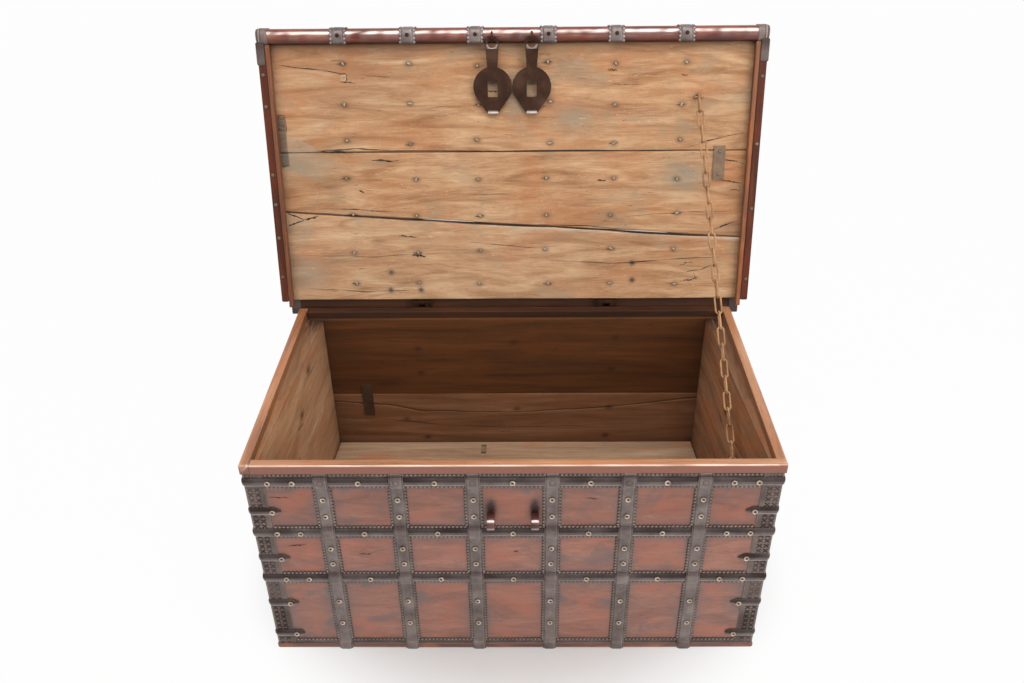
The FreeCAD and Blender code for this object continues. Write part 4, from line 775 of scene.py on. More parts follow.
linerLook = dict(width=0.009, soft=0.0015)
linerLow, linerHigh = lidBox("lid_liners")
linerGrids = []
for start, seed in ((linerLow[0], 77), (linerHigh[0] - linerLook["width"], 78)):
    low, high = (start, *linerLow[1:]), (start + linerLook["width"], *linerHigh[1:])
    points, faces, marks = boxBoard(low, high, grainY, seed, linerLook["soft"])
    linerGrids.append((onLid(points), faces, marks))
makeJoined("wood_lid_liners", linerGrids, "lid", woods["liningWood"], ["lid_liners"])

# shine, shoulder and spread: strength, angle and width of the painted highlight on the front rail
railLook = dict(soft=0.0125, count=14, steps=260, dent=0.02, seed=81, shine=1.0, shoulder=21, spread=14,
                ends=0.004)


def railSection(grow=0.0):
    # half-round bar: straight inner and top sides, a rounded lip face and nose, grown outwards by grow
    low, high = lidBox("lid_front_rail")
    inner, outer, face, top = high[1], low[1], low[2], high[2]
    soft = railLook["soft"]
    full = soft + grow
    turn = np.linspace(0, np.pi / 2, railLook["count"])
    start = np.array([[inner, face + 0.0035 - grow], [inner - 0.006, face + 0.0006 - grow]])
    bend = np.stack([outer + soft - full * np.sin(turn), face + soft - full * np.cos(turn)], -1)
    crown = np.stack([outer + soft - full * np.cos(turn), top - soft + full * np.sin(turn)], -1)
    return np.vstack([start, bend, crown]), np.array([[inner, top + grow]])


def makeFrontRail():
    # The half-round section carried along x, shrunk a little at both ends and dented by a slow ripple. Lip
    # counts degrees round it from the lip face; a painted highlight is a bell about the shoulder, in patches,
    # and painted shade lies on the inner side.
    low, high = lidBox("lid_front_rail")
    section = np.vstack(railSection())
    run = np.linspace(low[0], high[0], railLook["steps"])[:, None]
    middle = section.mean(0)
    ends = np.minimum(run - low[0], high[0] - run)
    shrink = 1 - 0.12 * np.clip(1 - ends / railLook["ends"], 0, 1) ** 2
    uneven = 0.5 + 0.5 * ripple(run * 25, np.arange(len(section))[None, :] * 0.5, railLook["seed"])
    wobble = 1 - railLook["dent"] * uneven
    grid = np.zeros((len(run), len(section), 3))
    grid[..., 0] = run
    for axis in (0, 1):
        grid[..., axis + 1] = middle[axis] + (section[:, axis] - middle[axis]) * shrink * wobble
    points = grid.reshape(-1, 3)
    quarter = np.linspace(0, 90, railLook["count"])
    lip = np.tile(np.concatenate([[-20, -8], quarter, 90 + quarter, [180]]), len(run))
    patchy = np.clip(0.78 + 0.55 * ripple(points[:, 0] * 30, points[:, 2] * 60, 4)
                     + 0.45 * ripple(points[:, 0] * 190, lip * 0.08, 6), 0, 1)
    marks = {"grain": points + np.array([1.3, 0.4, 2.2]),
             "wearAndHighlight": railLook["shine"] * patchy * bell(lip - railLook["shoulder"], railLook["spread"]),
             "stainAndShade": 0.7 * ramp(-2 - lip, 10)}
    makePiece("wood_lid_front_rail", onLid(points), tubeFaces(*grid.shape[:2]), "lid", woods["railWood"],
              ["lid_front_rail"], marks)


makeFrontRail()
print("lid boards done")


# Ironwork

def carryProfile(profile, path, side, out, scale=None):
    # point = path + side * u * scale + out * v * sqrt(scale), for every station of the path and every (u, v)
    widen = np.ones((len(path), 1, 1)) if scale is None else np.asarray(scale).reshape(-1, 1, 1)
    return (path[:, None, :] + side[:, None, :] * profile[None, :, :1] * widen
            + out[:, None, :] * profile[None, :, 1:2] * np.sqrt(widen))


def closedSweep(profile, path, side, out, scale=None, shade=None):
    # A swept bar with both ends closed. Shade gives the wear and grime marks across the section, broken by a
    # ripple; these hold painted highlight and painted shade on some pieces.
    points = carryProfile(profile, path, side, out, scale).reshape(-1, 3)
    rows, cols = len(path), len(profile)
    marks = {}
    if shade:
        broken = 0.75 + 0.25 * ripple(points[:, 0] * 70 + points[:, 1] * 50, points[:, 2] * 70, 3)
        wearAndHighlight, grimeAndShade = shade(profile[:, 0] / np.abs(profile[:, 0]).max())
        marks = {"wearAndHighlight": np.tile(wearAndHighlight, rows) * broken, "grimeAndShade": np.tile(grimeAndShade, rows) * broken}
    return points, tubeFaces(rows, cols), marks


def closedArch(half, u, heights):
    # an arch over u from -1 to 1, with two corners on the board below it
    return np.vstack([np.stack([half * u, heights], -1), [(half, 0.0), (-half, 0.0)]])


def domedSection(half, thick, count=13):
    # half-round: v = thick * sqrt(1 - 0.9 u^2), with a short upright edge
    u = np.linspace(-1, 1, count)
    return closedArch(half, u, thick * np.sqrt(np.maximum(1 - 0.9 * u ** 2, 0)))


def flangedSection(half, thick, crown=0.76):
    # a flat crown between two thin flanges: v = thick * (0.3 + 0.7 * smooth step up to the crown)
    rising = np.array([-1, -0.93, -0.85, -0.8, -0.76, -0.7, -0.6, -0.3])
    u = np.concatenate([rising, [0], -rising[::-1]])
    return closedArch(half, u, thick * (0.3 + 0.7 * smoothStep(ramp(crown + 0.1 - np.abs(u), 0.2))))


def barSection(halfWide, halfThick, corner, count=16):
    # a bar with softened corners: halfWide * sign(cos) * |cos|^corner, halfThick * sign(sin) * |sin|^0.5
    turn = np.linspace(0, 2 * np.pi, count, endpoint=False)
    c, s = np.cos(turn), np.sin(turn)
    return np.stack([halfWide * np.sign(c) * np.abs(c) ** corner,
                     halfThick * np.sign(s) * np.abs(s) ** 0.5], -1)


def normalsOf(path, side):
    # outward direction across a path that bends in one plane: tangent x side, made unit length
    out = np.cross(np.gradient(path, axis=0), side)
    return out / np.linalg.norm(out, axis=1, keepdims=True)


# Front 0, left -1 and right 1: the turn from the front, and how far out the boards' face lies
wallTurns = {wall: np.array([[1 - abs(wall), -wall, 0], [wall, 1 - abs(wall), 0], [0, 0, 1.0]])
             for wall in (-1, 0, 1)}
wallFace = {0: carcass["y"], -1: carcass["x"], 1: carcass["x"]}


def onWall(points, wall):
    # drawn for the front as (along, -out, up) and turned to the front, left or right wall
    return np.asarray(points) @ wallTurns[wall].T


strapLook = dict(width=0.026, thick=0.003, backing=0.0012, band=0.004, ramp=0.004, bandHalf=0.0095, top=0.461,
                 start=0.0004, foot=0.004, footTop=0.021, footRamp=0.006, grimeAndShade=(0.75, 0.0135, 0.0045),
                 wearAndHighlight=(0.22, -0.0115, 0.004))


def strapPath(wall, middle):
    # how far out the strap lies at each height: on its backing, up over the bands, out over the base board
    heights = [np.linspace(strapLook["start"], strapLook["top"], 60),
               np.linspace(strapLook["start"], 0.024, 9)]
    heights += [level + np.linspace(-0.016, 0.016, 17) for level in ironwork["bands"]]
    z = np.unique(np.concatenate(heights))
    gap = np.min(np.abs(z[:, None] - ironwork["bands"]), axis=1)
    climb = ramp(strapLook["bandHalf"] + strapLook["ramp"] - gap, strapLook["ramp"] - 0.0005)
    low = ramp(strapLook["footTop"] - z, strapLook["footRamp"])
    out = (strapLook["backing"] + strapLook["band"] * smoothStep(climb)
           + (strapLook["foot"] - strapLook["backing"]) * smoothStep(low))
    return np.stack([np.full_like(z, middle), -(wallFace[wall] + out), z], -1)


def strapShade(share):
    # the worn shoulders of the crown, and grime with painted shade in the angle between crown and flange
    return 0.16 * bell(np.abs(share) - 0.7, 0.06), 0.7 * bell(np.abs(share) - 0.86, 0.05)


def makeStraps(node, places):
    # the flanged section carried up the wall, with grime and painted shade above each band and a painted
    # highlight on the bend below it
    section = flangedSection(strapLook["width"] / 2, strapLook["thick"])
    grids = []
    for wall, middle in places:
        path = strapPath(wall, middle)
        side = rowsOf(xWay, len(path))
        out = normalsOf(path, side)
        out *= np.sign(-out[:, 1:2])
        points, faces, marks = closedSweep(section, path, side, out, shade=strapShade)
        above = points[:, 2:3] - ironwork["bands"]
        for label in ("grimeAndShade", "wearAndHighlight"):
            depth, place, spread = strapLook[label]
            marks[label] += depth * bell(above - place, spread).max(1)
        grids.append((onWall(points, wall), faces, marks))
    makeJoined("iron_" + node, grids, "chest", irons["strapIron"], [node])


frontPlaces = [(0, hand * place) for place in ironwork["straps"] for hand in hands]
sidePlaces = [(wall, hand * place) for wall in hands for place in ironwork["sideStraps"] for hand in hands]
makeStraps("front_straps", frontPlaces)
makeStraps("side_straps", sidePlaces)


def roundedRun(corners, radius, count=7, step=0.02):
    # straight runs joined by quarter arcs, in the plane z = 0, with the outward direction at each point
    corners = np.asarray(corners, float)
    legs = np.diff(corners, axis=0)
    lengths = np.linalg.norm(legs, axis=1)
    ways = legs / lengths[:, None]
    sides = np.stack([ways[:, 1], -ways[:, 0]], -1)
    angle = np.linspace(0, np.pi / 2, count)[1:-1, None]
    points, outs = [], []
    for index, (length, way, out) in enumerate(zip(lengths, ways, sides)):
        first = radius if index else 0.0
        last = radius if index < len(legs) - 1 else 0.0
        reach = np.linspace(first, length - last, max(3, int(length / step)))[:, None]
        points.append(corners[index] + way * reach)
        outs.append(rowsOf(out, len(reach)))
        if last:
            blend = out * np.cos(angle) + sides[index + 1] * np.sin(angle)
            points.append(corners[index + 1] - way * radius - out * radius + radius * blend)
            outs.append(blend)
    return tuple(np.pad(np.vstack(part), ((0, 0), (0, 1))) for part in (points, outs))


bandLook = dict(height=0.019, thick=0.004, inset=0.0012, backTo=0.4172, round=0.003, waver=0.0004)


def bandShade(share):
    # grime and painted shade on the upper slope, and a painted highlight on the lower shoulder as if lit from
    # below
    return bell(share + 0.76, 0.13), ramp(share + 0.12, 0.4)


def makeBands():
    # a half-round section carried round the chest at three heights, each wavering by a slow ripple
    section = domedSection(bandLook["height"] / 2, bandLook["thick"], 15)
    x, y, backTo = carcass["x"] + bandLook["inset"], carcass["y"] + bandLook["inset"], bandLook["backTo"]
    path, out = roundedRun([(-backTo, y), (-x, y), (-x, -y), (x, -y), (x, y), (backTo, y)], bandLook["round"])
    for node, level, seed in zip(("band_low", "band_middle", "band_top"), ironwork["bands"], (1, 2, 3)):
        lift = level + bandLook["waver"] * ripple(path[:, 0] * 12, path[:, 1] * 12, seed)
        bar = closedSweep(section, path + lift[:, None] * zWay, rowsOf(zWay, len(path)), out, shade=bandShade)
        makeJoined("iron_" + node, [bar], "chest", irons["bandIron"], [node])


makeBands()
beadLook = dict(pitch=0.0076, radius=0.0030, tall=0.0017, shine=0.5)


def beadRibbon(path, side, out, inner, outer, thick):
    # A thin strip along a path whose outer edge is a row of beads. Between beads the edge draws in; on a bead
    # the height is thick + tall * sqrt(1 - (along/r)^2 - (across/r)^2). The last row closes the edge.
    steps = runLength(path)
    length, radius = steps[-1], beadLook["radius"]
    teeth = max(1, round(length / beadLook["pitch"]))
    local = np.array([-0.5, -0.3, -0.15, 0.0, 0.15, 0.3])
    at = np.append((np.arange(teeth)[:, None] + 0.5 + local[None, :]).ravel() / teeth * length, length)
    centre = (np.floor(np.minimum(at, length - 1e-9) / length * teeth) + 0.5) / teeth * length
    gap = np.clip(1 - ((at - centre) / radius) ** 2, 0, 1)
    edge = outer - radius * (1 - np.sqrt(gap)) * 0.9
    across = inner + (edge[:, None] - inner) * np.array([0.0, 0.4, 0.6, 0.8, 0.93, 1.0, 1.0])
    bead = np.sqrt(np.clip(gap[:, None] - ((across - (outer - radius)) / radius) ** 2, 0, 1))
    height = thick + beadLook["tall"] * bead
    height[:, -1] = 0.0
    middle, sideways, outwards = (
        np.stack([np.interp(at, steps, values[:, axis]) for axis in range(3)], -1)[:, None, :]
        for values in (path, side, out))
    grid = middle + sideways * across[..., None] + outwards * height[..., None]
    # a painted highlight, also worn, on each bead top, and grime with painted shade between the beads
    shine = ramp(bead - 0.55, 0.4) * (0.65 + 0.35 * ripple(at * 90, 0.0, 7))[:, None]
    grimeAndShade = np.clip(1 - bead * 1.9, 0, 1) * np.clip(np.linspace(-0.6, 1.6, across.shape[1]), 0, 1)
    marks = {"wearAndHighlight": (shine * beadLook["shine"]).ravel(), "grimeAndShade": grimeAndShade.ravel()}
    return grid.reshape(-1, 3), gridFaces(*across.shape).tolist(), marks


def straightRibbon(wall, start, end, sideways, inner, outer):
    # a bead ribbon between two (along, up) points of a wall, its beads towards (along, up) sideways
    ends = [(along, -wallFace[wall], up) for along, up in (start, end)]
    side = rowsOf((sideways[0], 0, sideways[1]), 2)
    points, faces, marks = beadRibbon(np.array(ends), side, rowsOf(-yWay, 2), inner, outer,
                                      strapLook["backing"])
    return onWall(points, wall), faces, marks


backingLook = dict(halves={0: 0.440, -1: 0.230, 1: 0.230}, bandInner=0.0085, reach=0.0158, topReach=0.0182,
                   foot=0.013, bays=((0.026, 0.186), (0.214, 0.305), (0.333, 0.427)), strapInner=0.0115,
                   strapReach=0.0172)


def makeBacking():
    # bead ribbons above and below each band, along the foot, and beside each strap between the bands
    inner, foot = backingLook["bandInner"], backingLook["foot"]
    grids = []
    for wall, half in backingLook["halves"].items():
        for level in ironwork["bands"]:
            for way in hands:
                top = way > 0 and level == max(ironwork["bands"])
                reach = backingLook["topReach" if top else "reach"]
                grids.append(straightRibbon(wall, (-half, level), (half, level), (0, way), inner, reach))
        grids.append(straightRibbon(wall, (-half, foot), (half, foot), (0, 1), 0.0, foot))
    makeJoined("iron_band_backings", grids, "chest", irons["beadIron"], ["band_backings"])
    inner, reach = backingLook["strapInner"], backingLook["strapReach"]
    grids = [straightRibbon(wall, (middle, low), (middle, high), (way, 0), inner, reach)
             for wall, middle in frontPlaces + sidePlaces
             for low, high in backingLook["bays"] for way in hands]
    makeJoined("iron_strap_backings", grids, "chest", irons["beadIron"], ["strap_backings"])


makeBacking()
plateLook = dict(leg=0.036, low=0.013, high=0.464, cell=0.0128, first=0.0082, arm=0.0017, reach=0.0052,
                 sink=0.0010, step=0.0011, pierced=(0.0025, 0.0275))


def makeCornerPlates():
    # One sheet round the corner: t runs from the end of one leg to the end of the other, z runs up. The
    # height above the boards is the sheet's thickness less sink * cross, where cross is 1 on the two slanting
    # arms in each cell.
    leg, cell, step, thick = plateLook["leg"], plateLook["cell"], plateLook["step"], strapLook["backing"]
    half = np.arange(0, leg + 1e-6, step)
    t = np.concatenate([-half[:0:-1], half])
    t = np.concatenate([t[:1], t, t[-1:]])[None, :]
    z = np.arange(plateLook["low"], plateLook["high"] + 1e-6, step)[:, None]
    along = np.abs(t) - plateLook["first"]
    du = np.abs(along - np.round(along / cell) * cell)
    dv = np.abs(z - np.round(z / cell) * cell)
    arm = np.clip(1.6 - np.abs(du - dv) / plateLook["arm"], 0, 1)
    start, end = plateLook["pierced"]
    inCell = (np.maximum(du, dv) < plateLook["reach"]) & (np.abs(t) > start) & (np.abs(t) < end)
    worn = 0.5 + 0.5 * ripple(t * 60 + z * 20, z * 45, 17)
    cross = arm * inCell * np.clip(0.35 + 1.1 * worn, 0, 1)
    height = thick - plateLook["sink"] * cross
    height[:, [0, -1]] = 0.0
    # painted shade in the sunk crosses, standing for holes, with patches of grime
    grimeAndShade = np.clip(cross + 0.55 * np.clip(ripple(t * 45, z * 30, 18), 0, 1), 0, 1)
    wearAndHighlight = 0.35 * bell(leg - np.abs(t), 0.0015) + 0.25 * bell(t, 0.003) + 0 * z
    inset = thick - np.abs(t) + 0 * z
    x = carcass["x"] + np.where(t >= 0, inset, height)
    y = carcass["y"] + np.where(t >= 0, height, inset)
    marks = {"wearAndHighlight": wearAndHighlight.ravel(), "grimeAndShade": grimeAndShade.ravel()}
    faces = gridFaces(*height.shape).tolist()
    for node, back in (("corner_plates_front", -1), ("corner_plates_back", 1)):
        sheets = [np.stack([hand * x, back * y, np.broadcast_to(z, x.shape)], -1) for hand in hands]
        makeJoined("iron_" + node, [(sheet, faces, marks) for sheet in sheets], "chest",
                   irons["plateIron"], [node])


makeCornerPlates()
clipLook = dict(levels=(0.043, 0.131, 0.253, 0.371), height=0.018, thick=0.003, reach=0.057, point=0.012,
                blunt=0.009, bend=0.002, step=0.003)


def makeClips():
    # a domed strap bent round the corner, its ends narrowing to blunt points, the lowest one's rounded
    section = domedSection(clipLook["height"] / 2, clipLook["thick"])
    x, y, reach = carcass["x"] + strapLook["backing"], carcass["y"] + strapLook["backing"], clipLook["reach"]
    for node, back in (("corner_clips_front", -1), ("corner_clips_back", 1)):
        grids = []
        for hand in hands:
            corners = [(hand * (x - reach), back * y), (hand * x, back * y), (hand * x, back * (y - reach))]
            path, out = roundedRun(corners[::hand * back], clipLook["bend"], step=clipLook["step"])
            out = out * np.sign(out[0] @ np.array([hand, back, 0]))
            steps = runLength(path)
            tip = np.minimum(steps, steps[-1] - steps)
            pointed = np.clip(tip / clipLook["point"], 0.12, 1) ** 0.7
            rounded = np.sqrt(np.clip(1 - (1 - np.clip(tip / clipLook["blunt"], 0.02, 1)) ** 2, 0.03, 1))
            # each clip takes the bands' marks: grime with painted shade above, a painted highlight below
            for number, level in enumerate(clipLook["levels"]):
                grids.append(closedSweep(section, path + level * zWay, rowsOf(zWay, len(path)), out,
                                         pointed if number else rounded, bandShade))
        makeJoined("iron_" + node, grids, "chest", irons["bandIron"], [node])


makeClips()


def domes(centres, out, up, radii, heights, sectors, petals=0.0):
    # turned heads: centre + out * height + radius * (up * cos + (out x up) * sin), petals waving the rim
    centres, out, up, radii, heights = (np.asarray(values, float)
                                        for values in (centres, out, up, radii, heights))
    turn = np.linspace(0, 2 * np.pi, sectors, endpoint=False)
    cross = np.cross(out, up)
    wave = 1 + petals * np.cos(8 * turn)[None, :] * (radii / radii.max())[:, None] ** 3
    ring = (up[:, None, None, :] * np.cos(turn)[None, None, :, None]
            + cross[:, None, None, :] * np.sin(turn)[None, None, :, None])
    grid = (centres[:, None, None, :] + out[:, None, None, :] * heights[None, :, None, None]
            + ring * (radii[:, None] * wave)[None, :, :, None])
    count, rings = len(centres), len(radii)
    one = gridFaces(rings, sectors, wrapCols=True)
    faces = (one[None] + (np.arange(count) * rings * sectors)[:, None, None]).reshape(-1, 4)
    return grid.reshape(-1, 3), faces.tolist()


headEnd, headMerge = 1e-5, 2e-6  # a head closes on a tiny ring, whose points are then merged
flatGrime = (1, 1, 0.7, 0.1, 0.0)  # grime of a flat head from its underside to its middle


def makeHeads(name, body, finish, centres, outs, look, grimeAndShade=None):
    # flat-headed nails: three rings between two closed ends
    radii = (headEnd, *look["radii"], headEnd)
    points, faces = domes(centres, outs, rowsOf(look["up"], len(centres)), radii, look["heights"],
                          look["sectors"])
    marks = {"grimeAndShade": np.tile(np.repeat(grimeAndShade, look["sectors"]), len(centres))} if grimeAndShade else {}
    makePiece(name, points, faces, body, irons[finish], (), marks, headMerge)


def wallHeads(places):
    # centres and outward directions of heads given as (wall, along, up, height off the boards)
    centres = [onWall((along, -(wallFace[wall] + lift), level), wall) for wall, along, level, lift in places]
    return np.array(centres), np.array([onWall(-yWay, place[0]) for place in places])


studLook = dict(radius=0.0058, tall=0.0034, sectors=16, petals=0.05, rows=(0.34, 0.67), outer=(0.37, 0.69),
                onStrap=0.004, onBand=0.005, onClip=0.004, clipIn=0.0405, sideShare=(-1.8, 0, 1.8),
                radii=(1.0, 1.0, 0.86, 0.66, 0.48, 0.34), heights=(0.0, 0.0, 0.3, 0.8, 1.0, 0.86, 0.45, 0.36),
                sunk=(0, 1, 0.75, 0.25, 0.05, 0.5, 1, 1), shaded=(0, 0, 0.4, 0.5, 0.5, 0.4, 0, 0))


def makeStuds():
    # Two studs in each bay of a strap, one on each band between straps, two outside them, one on each clip.
    # A stud is a ring with a sunk middle; its mark is sunk + shaded * (0.5 - 0.5 cos(turn - lean)), the
    # second part a painted shade that leaves each stud bright on one side.
    bays = (carcass["baseTop"], *ironwork["bands"])
    straps, last = ironwork["straps"], ironwork["straps"][-1]
    rows = [low + (high - low) * share for low, high in zip(bays[:-1], bays[1:])
            for share in studLook["rows"]]
    edges = sorted(hand * place for place in straps for hand in hands)
    middles = [(a + b) / 2 for a, b in zip(edges[:-1], edges[1:])]
    middles += [hand * (last + (carcass["x"] - last) * share) for hand in hands
                for share in studLook["outer"]]
    places = [(wall, middle, row, studLook["onStrap"]) for wall, middle in frontPlaces for row in rows]
    places += [(0, middle, level, studLook["onBand"]) for middle in middles for level in ironwork["bands"]]
    places += [(0, hand * (carcass["x"] - studLook["clipIn"]), level, studLook["onClip"]) for hand in hands
               for level in clipLook["levels"]]
    for wall in hands:
        places += [(wall, middle, row, studLook["onStrap"]) for side, middle in sidePlaces if side == wall
                   for row in rows]
        places += [(wall, share * ironwork["sideStraps"][0], level, studLook["onBand"])
                   for share in studLook["sideShare"] for level in ironwork["bands"]]
    centres, outs = wallHeads(places)
    radii = (headEnd, *(studLook["radius"] * share for share in studLook["radii"]), headEnd)
    heights = studLook["tall"] * np.array(studLook["heights"])
    points, faces = domes(centres, outs, rowsOf(zWay, len(places)), radii, heights, studLook["sectors"],
                          studLook["petals"])
    turn = np.linspace(0, 2 * np.pi, studLook["sectors"], endpoint=False)
    # painted light: each stud is painted bright mostly below, as if lit from beneath
    lean = np.random.default_rng(5).uniform(2.2, 4.1, len(places))[:, None, None]
    paintedShade = 0.5 - 0.5 * np.cos(turn[None, None, :] - lean)
    sunk, shaded = (np.array(studLook[label])[None, :, None] for label in ("sunk", "shaded"))
    makePiece("brass_studs_front", points, faces, "chest", studBrass, ["brass_studs"],
              {"groove": np.clip(sunk + paintedShade * shaded, 0, 1).ravel()}, headMerge)


makeStuds()

# a dark flat-headed nail where each strap crosses the top band
strapNail = dict(up=zWay, radii=(0.0062, 0.006, 0.0042), heights=(0.0, 0.0, 0.0004, 0.0009, 0.0011),
                 sectors=14, level=0.4425, lift=0.0081)
nailPlaces = [(wall, middle, strapNail["level"], strapNail["lift"])
              for wall, middle in frontPlaces + sidePlaces]
makeHeads("iron_strap_nails", "chest", "strapIron", *wallHeads(nailPlaces), strapNail, flatGrime)
print("front ironwork done")


# Hasp staples on the front: a flat strap bent into a loop
stapleLook = dict(width=0.014, thick=0.0045, reach=0.027, height=0.026, nose=1.05, corner=0.35)


def makeStaples():
    # the strap's section carried out along z = -h, round in a half ellipse and back along z = +h
    turn = np.linspace(-np.pi / 2, np.pi / 2, 21)
    half = stapleLook["height"] / 2 - stapleLook["thick"] / 2
    nose = half * stapleLook["nose"]
    flat = stapleLook["reach"] - stapleLook["thick"] / 2 - nose
    line = np.vstack([[[0.0, -half]], np.stack([flat + nose * np.cos(turn), half * np.sin(turn)], -1),
                      [[0.0, half]]])
    low, high = chestBox("hasp_staples")
    section = barSection(stapleLook["width"] / 2, stapleLook["thick"] / 2, stapleLook["corner"])
    along = np.linspace(0, 1, len(line))
    # painted highlights on the staple: a bright one on the upper leg and a fainter one round the bend
    bright = 0.95 * np.repeat(bell(along - 0.80, 0.035) + 0.45 * bell(along - 0.44, 0.05), len(section))
    grids = []
    for hand in hands:
        path = np.stack([np.full(len(line), hand * ironwork["staples"]), -(carcass["y"] + line[:, 0]),
                         (low[2] + high[2]) / 2 + line[:, 1]], -1)
        side = rowsOf(xWay, len(path))
        points, faces, _ = closedSweep(section, path, side, normalsOf(path, side))
        grids.append((points, faces, {"wearAndHighlight": bright}))
    makeJoined("iron_hasp_staples", grids, "chest", irons["stapleIron"], ["hasp_staples"])


makeStaples()


# Lid ironwork: straps that wrap the front rail and run back over the lid
lidStrapLook = dict(places=(0.0735, 0.210, 0.350), width=0.026, thick=0.0025, beadInner=0.011,
                    beadReach=0.0172, beadThick=0.0008)
lidStrapNail = dict(up=xWay, radii=(0.0042, 0.0036, 0.002), heights=(0.0, 0.0, 0.0007, 0.0011, 0.0012),
                    sectors=14, back=-0.568, sink=0.95)


def makeLidStraps():
    # the flanged section along the lip face, round the nose of the front rail and back along the top, with
    # beads beside it as far as the nose goes, and a nail on each strap
    nose = railSection()[0]
    tail = np.linspace(nose[-1, 0], lidBox("lid_straps")[1][1], 24)[1:]
    line = np.vstack([nose, np.stack([tail, np.full(len(tail), nose[-1, 1])], -1)])
    beaded = slice(len(nose) + 2)
    section = flangedSection(lidStrapLook["width"] / 2, lidStrapLook["thick"])
    side = rowsOf(xWay, len(line))
    normals = normalsOf(np.c_[np.zeros(len(line)), line], side)
    out = normals * np.sign(normals[len(normals) // 3] @ np.array([0, -1.0, 0.4]))
    places = [hand * place for place in lidStrapLook["places"] for hand in hands]
    grids = []
    for x in places:
        path = np.c_[np.full(len(line), x), line]
        grids.append(closedSweep(section, path, side, out, shade=strapShade))
        grids += [beadRibbon(path[beaded], way * side[beaded], out[beaded], lidStrapLook["beadInner"],
                             lidStrapLook["beadReach"], lidStrapLook["beadThick"]) for way in hands]
    grids = [(onLid(points), faces, marks) for points, faces, marks in grids]
    makeJoined("iron_lid_straps", grids, "lid", irons["strapIron"], ["lid_straps"])
    middle = np.argmin(np.abs(line[:, 0] - lidStrapNail["back"]))
    way = normals[middle] * np.sign(normals[middle] @ np.array([0, -0.2, -1.0]))
    spot = line[middle] + way[1:] * lidStrapLook["thick"] * lidStrapNail["sink"]
    outs = rowsOf(turnLid(way, lidTurn["angle"]), len(places))
    makeHeads("iron_lid_strap_nails", "lid", "haspIron", onLid([(x, *spot) for x in places]), outs,
              lidStrapNail)


makeLidStraps()
capLook = dict(width=0.022, leg=0.040, thick=0.0017, start=0.0005, ringAt=0.0165, ring=0.0003,
               ringWide=0.0014, round=0.011, legIn=0.4993, legLap=0.006, legLow=-0.0262, legHigh=0.0158,
               legGap=0.0003, footX=(0.4805, 0.5014), footZ=(0.0056, 0.0184), step=0.004)


def makeCaps():
    # The rail's own section grown by the cap's thickness along its last stretch: grow = thick + ring * (a
    # narrow bell), drawn in at the end by an ellipse. A leg wraps the start of the side rail, and a small box
    # the back rail's end.
    high, railHigh = lidBox("lid_corner_caps")[1], lidBox("lid_front_rail")[1]
    unit = 0.001
    plain, grown = (np.vstack(railSection(grow)) for grow in (0.0, unit))
    start = railHigh[0] - capLook["width"]
    run = np.linspace(0, 1, 40) * (high[0] - start)
    ring = capLook["ring"] * bell(run - capLook["ringAt"], capLook["ringWide"])
    grow = capLook["thick"] * (1 - np.exp(-run / capLook["start"])) + ring
    gone = np.clip((run - run[-1]) / capLook["round"] + 1, 0, 1)
    shrink = 0.5 + 0.5 * np.sqrt(1 - 0.98 * gone ** 2)
    section = plain + (grown - plain) / unit * grow[:, None, None]
    section = plain.mean(0) + (section - plain.mean(0)) * shrink[:, None, None]
    rows, cols = section.shape[:2]
    cap = np.concatenate([np.broadcast_to((start + run)[:, None, None], (rows, cols, 1)), section], -1)
    bright = np.clip((grow - capLook["thick"]) / capLook["ring"], 0, 1)
    beside = bell(np.abs(run - capLook["ringAt"]) - 0.0026, 0.001)
    pieces = [(cap, tubeFaces(rows, cols), {"wearAndHighlight": np.repeat(0.5 * bright, cols),
                                            "grimeAndShade": np.repeat(0.8 * beside, cols)})]
    inner, backRail = railHigh[1], lidBox("lid_back_rail")[0][1]
    leg = boxBoard((capLook["legIn"], inner - capLook["legLap"], capLook["legLow"]),
                   (high[0] - capLook["legGap"], inner + capLook["leg"], capLook["legHigh"]), grainYFlat,
                   83, 0.0035, step=capLook["step"])
    (footIn, footOut), (footLow, footHigh) = capLook["footX"], capLook["footZ"]
    foot = boxBoard((footIn, backRail, footLow), (footOut, high[1], footHigh), grainXFlat, 84, 0.002,
                    step=capLook["step"])
    for points, faces, _ in (leg, foot):
        worn = 0.25 + 0.25 * ripple(points[:, 1] * 90, points[:, 2] * 90, 85)
        pieces.append((points, faces, {"wearAndHighlight": worn * 0.2, "grimeAndShade": 1 - worn}))
    grids = [(onLid(points * np.array([hand, 1, 1])), faces, marks) for hand in hands
             for points, faces, marks in pieces]
    makeJoined("iron_lid_corner_caps", grids, "lid", irons["capIron"], ["lid_corner_caps"])


makeCaps()
railNails = dict(x=0.5065, first=-0.494, last=-0.009, face=-0.024, left=(0.0, 0.13, 0.42, 0.55, 0.7, 0.88),
                 right=(0.02, 0.3, 0.58, 0.9), radius=0.0042, tall=0.002, sectors=14, sunk=-0.0004,
                 radii=(1.0, 1.0, 0.85, 0.5), heights=(0.2, 0.6, 0.92, 1.0),
                 grimeAndShade=(1.0, 1.0, 0.8, 0.25, 0.0, 0.0), clenchWide=0.62, clenchTall=0.75)


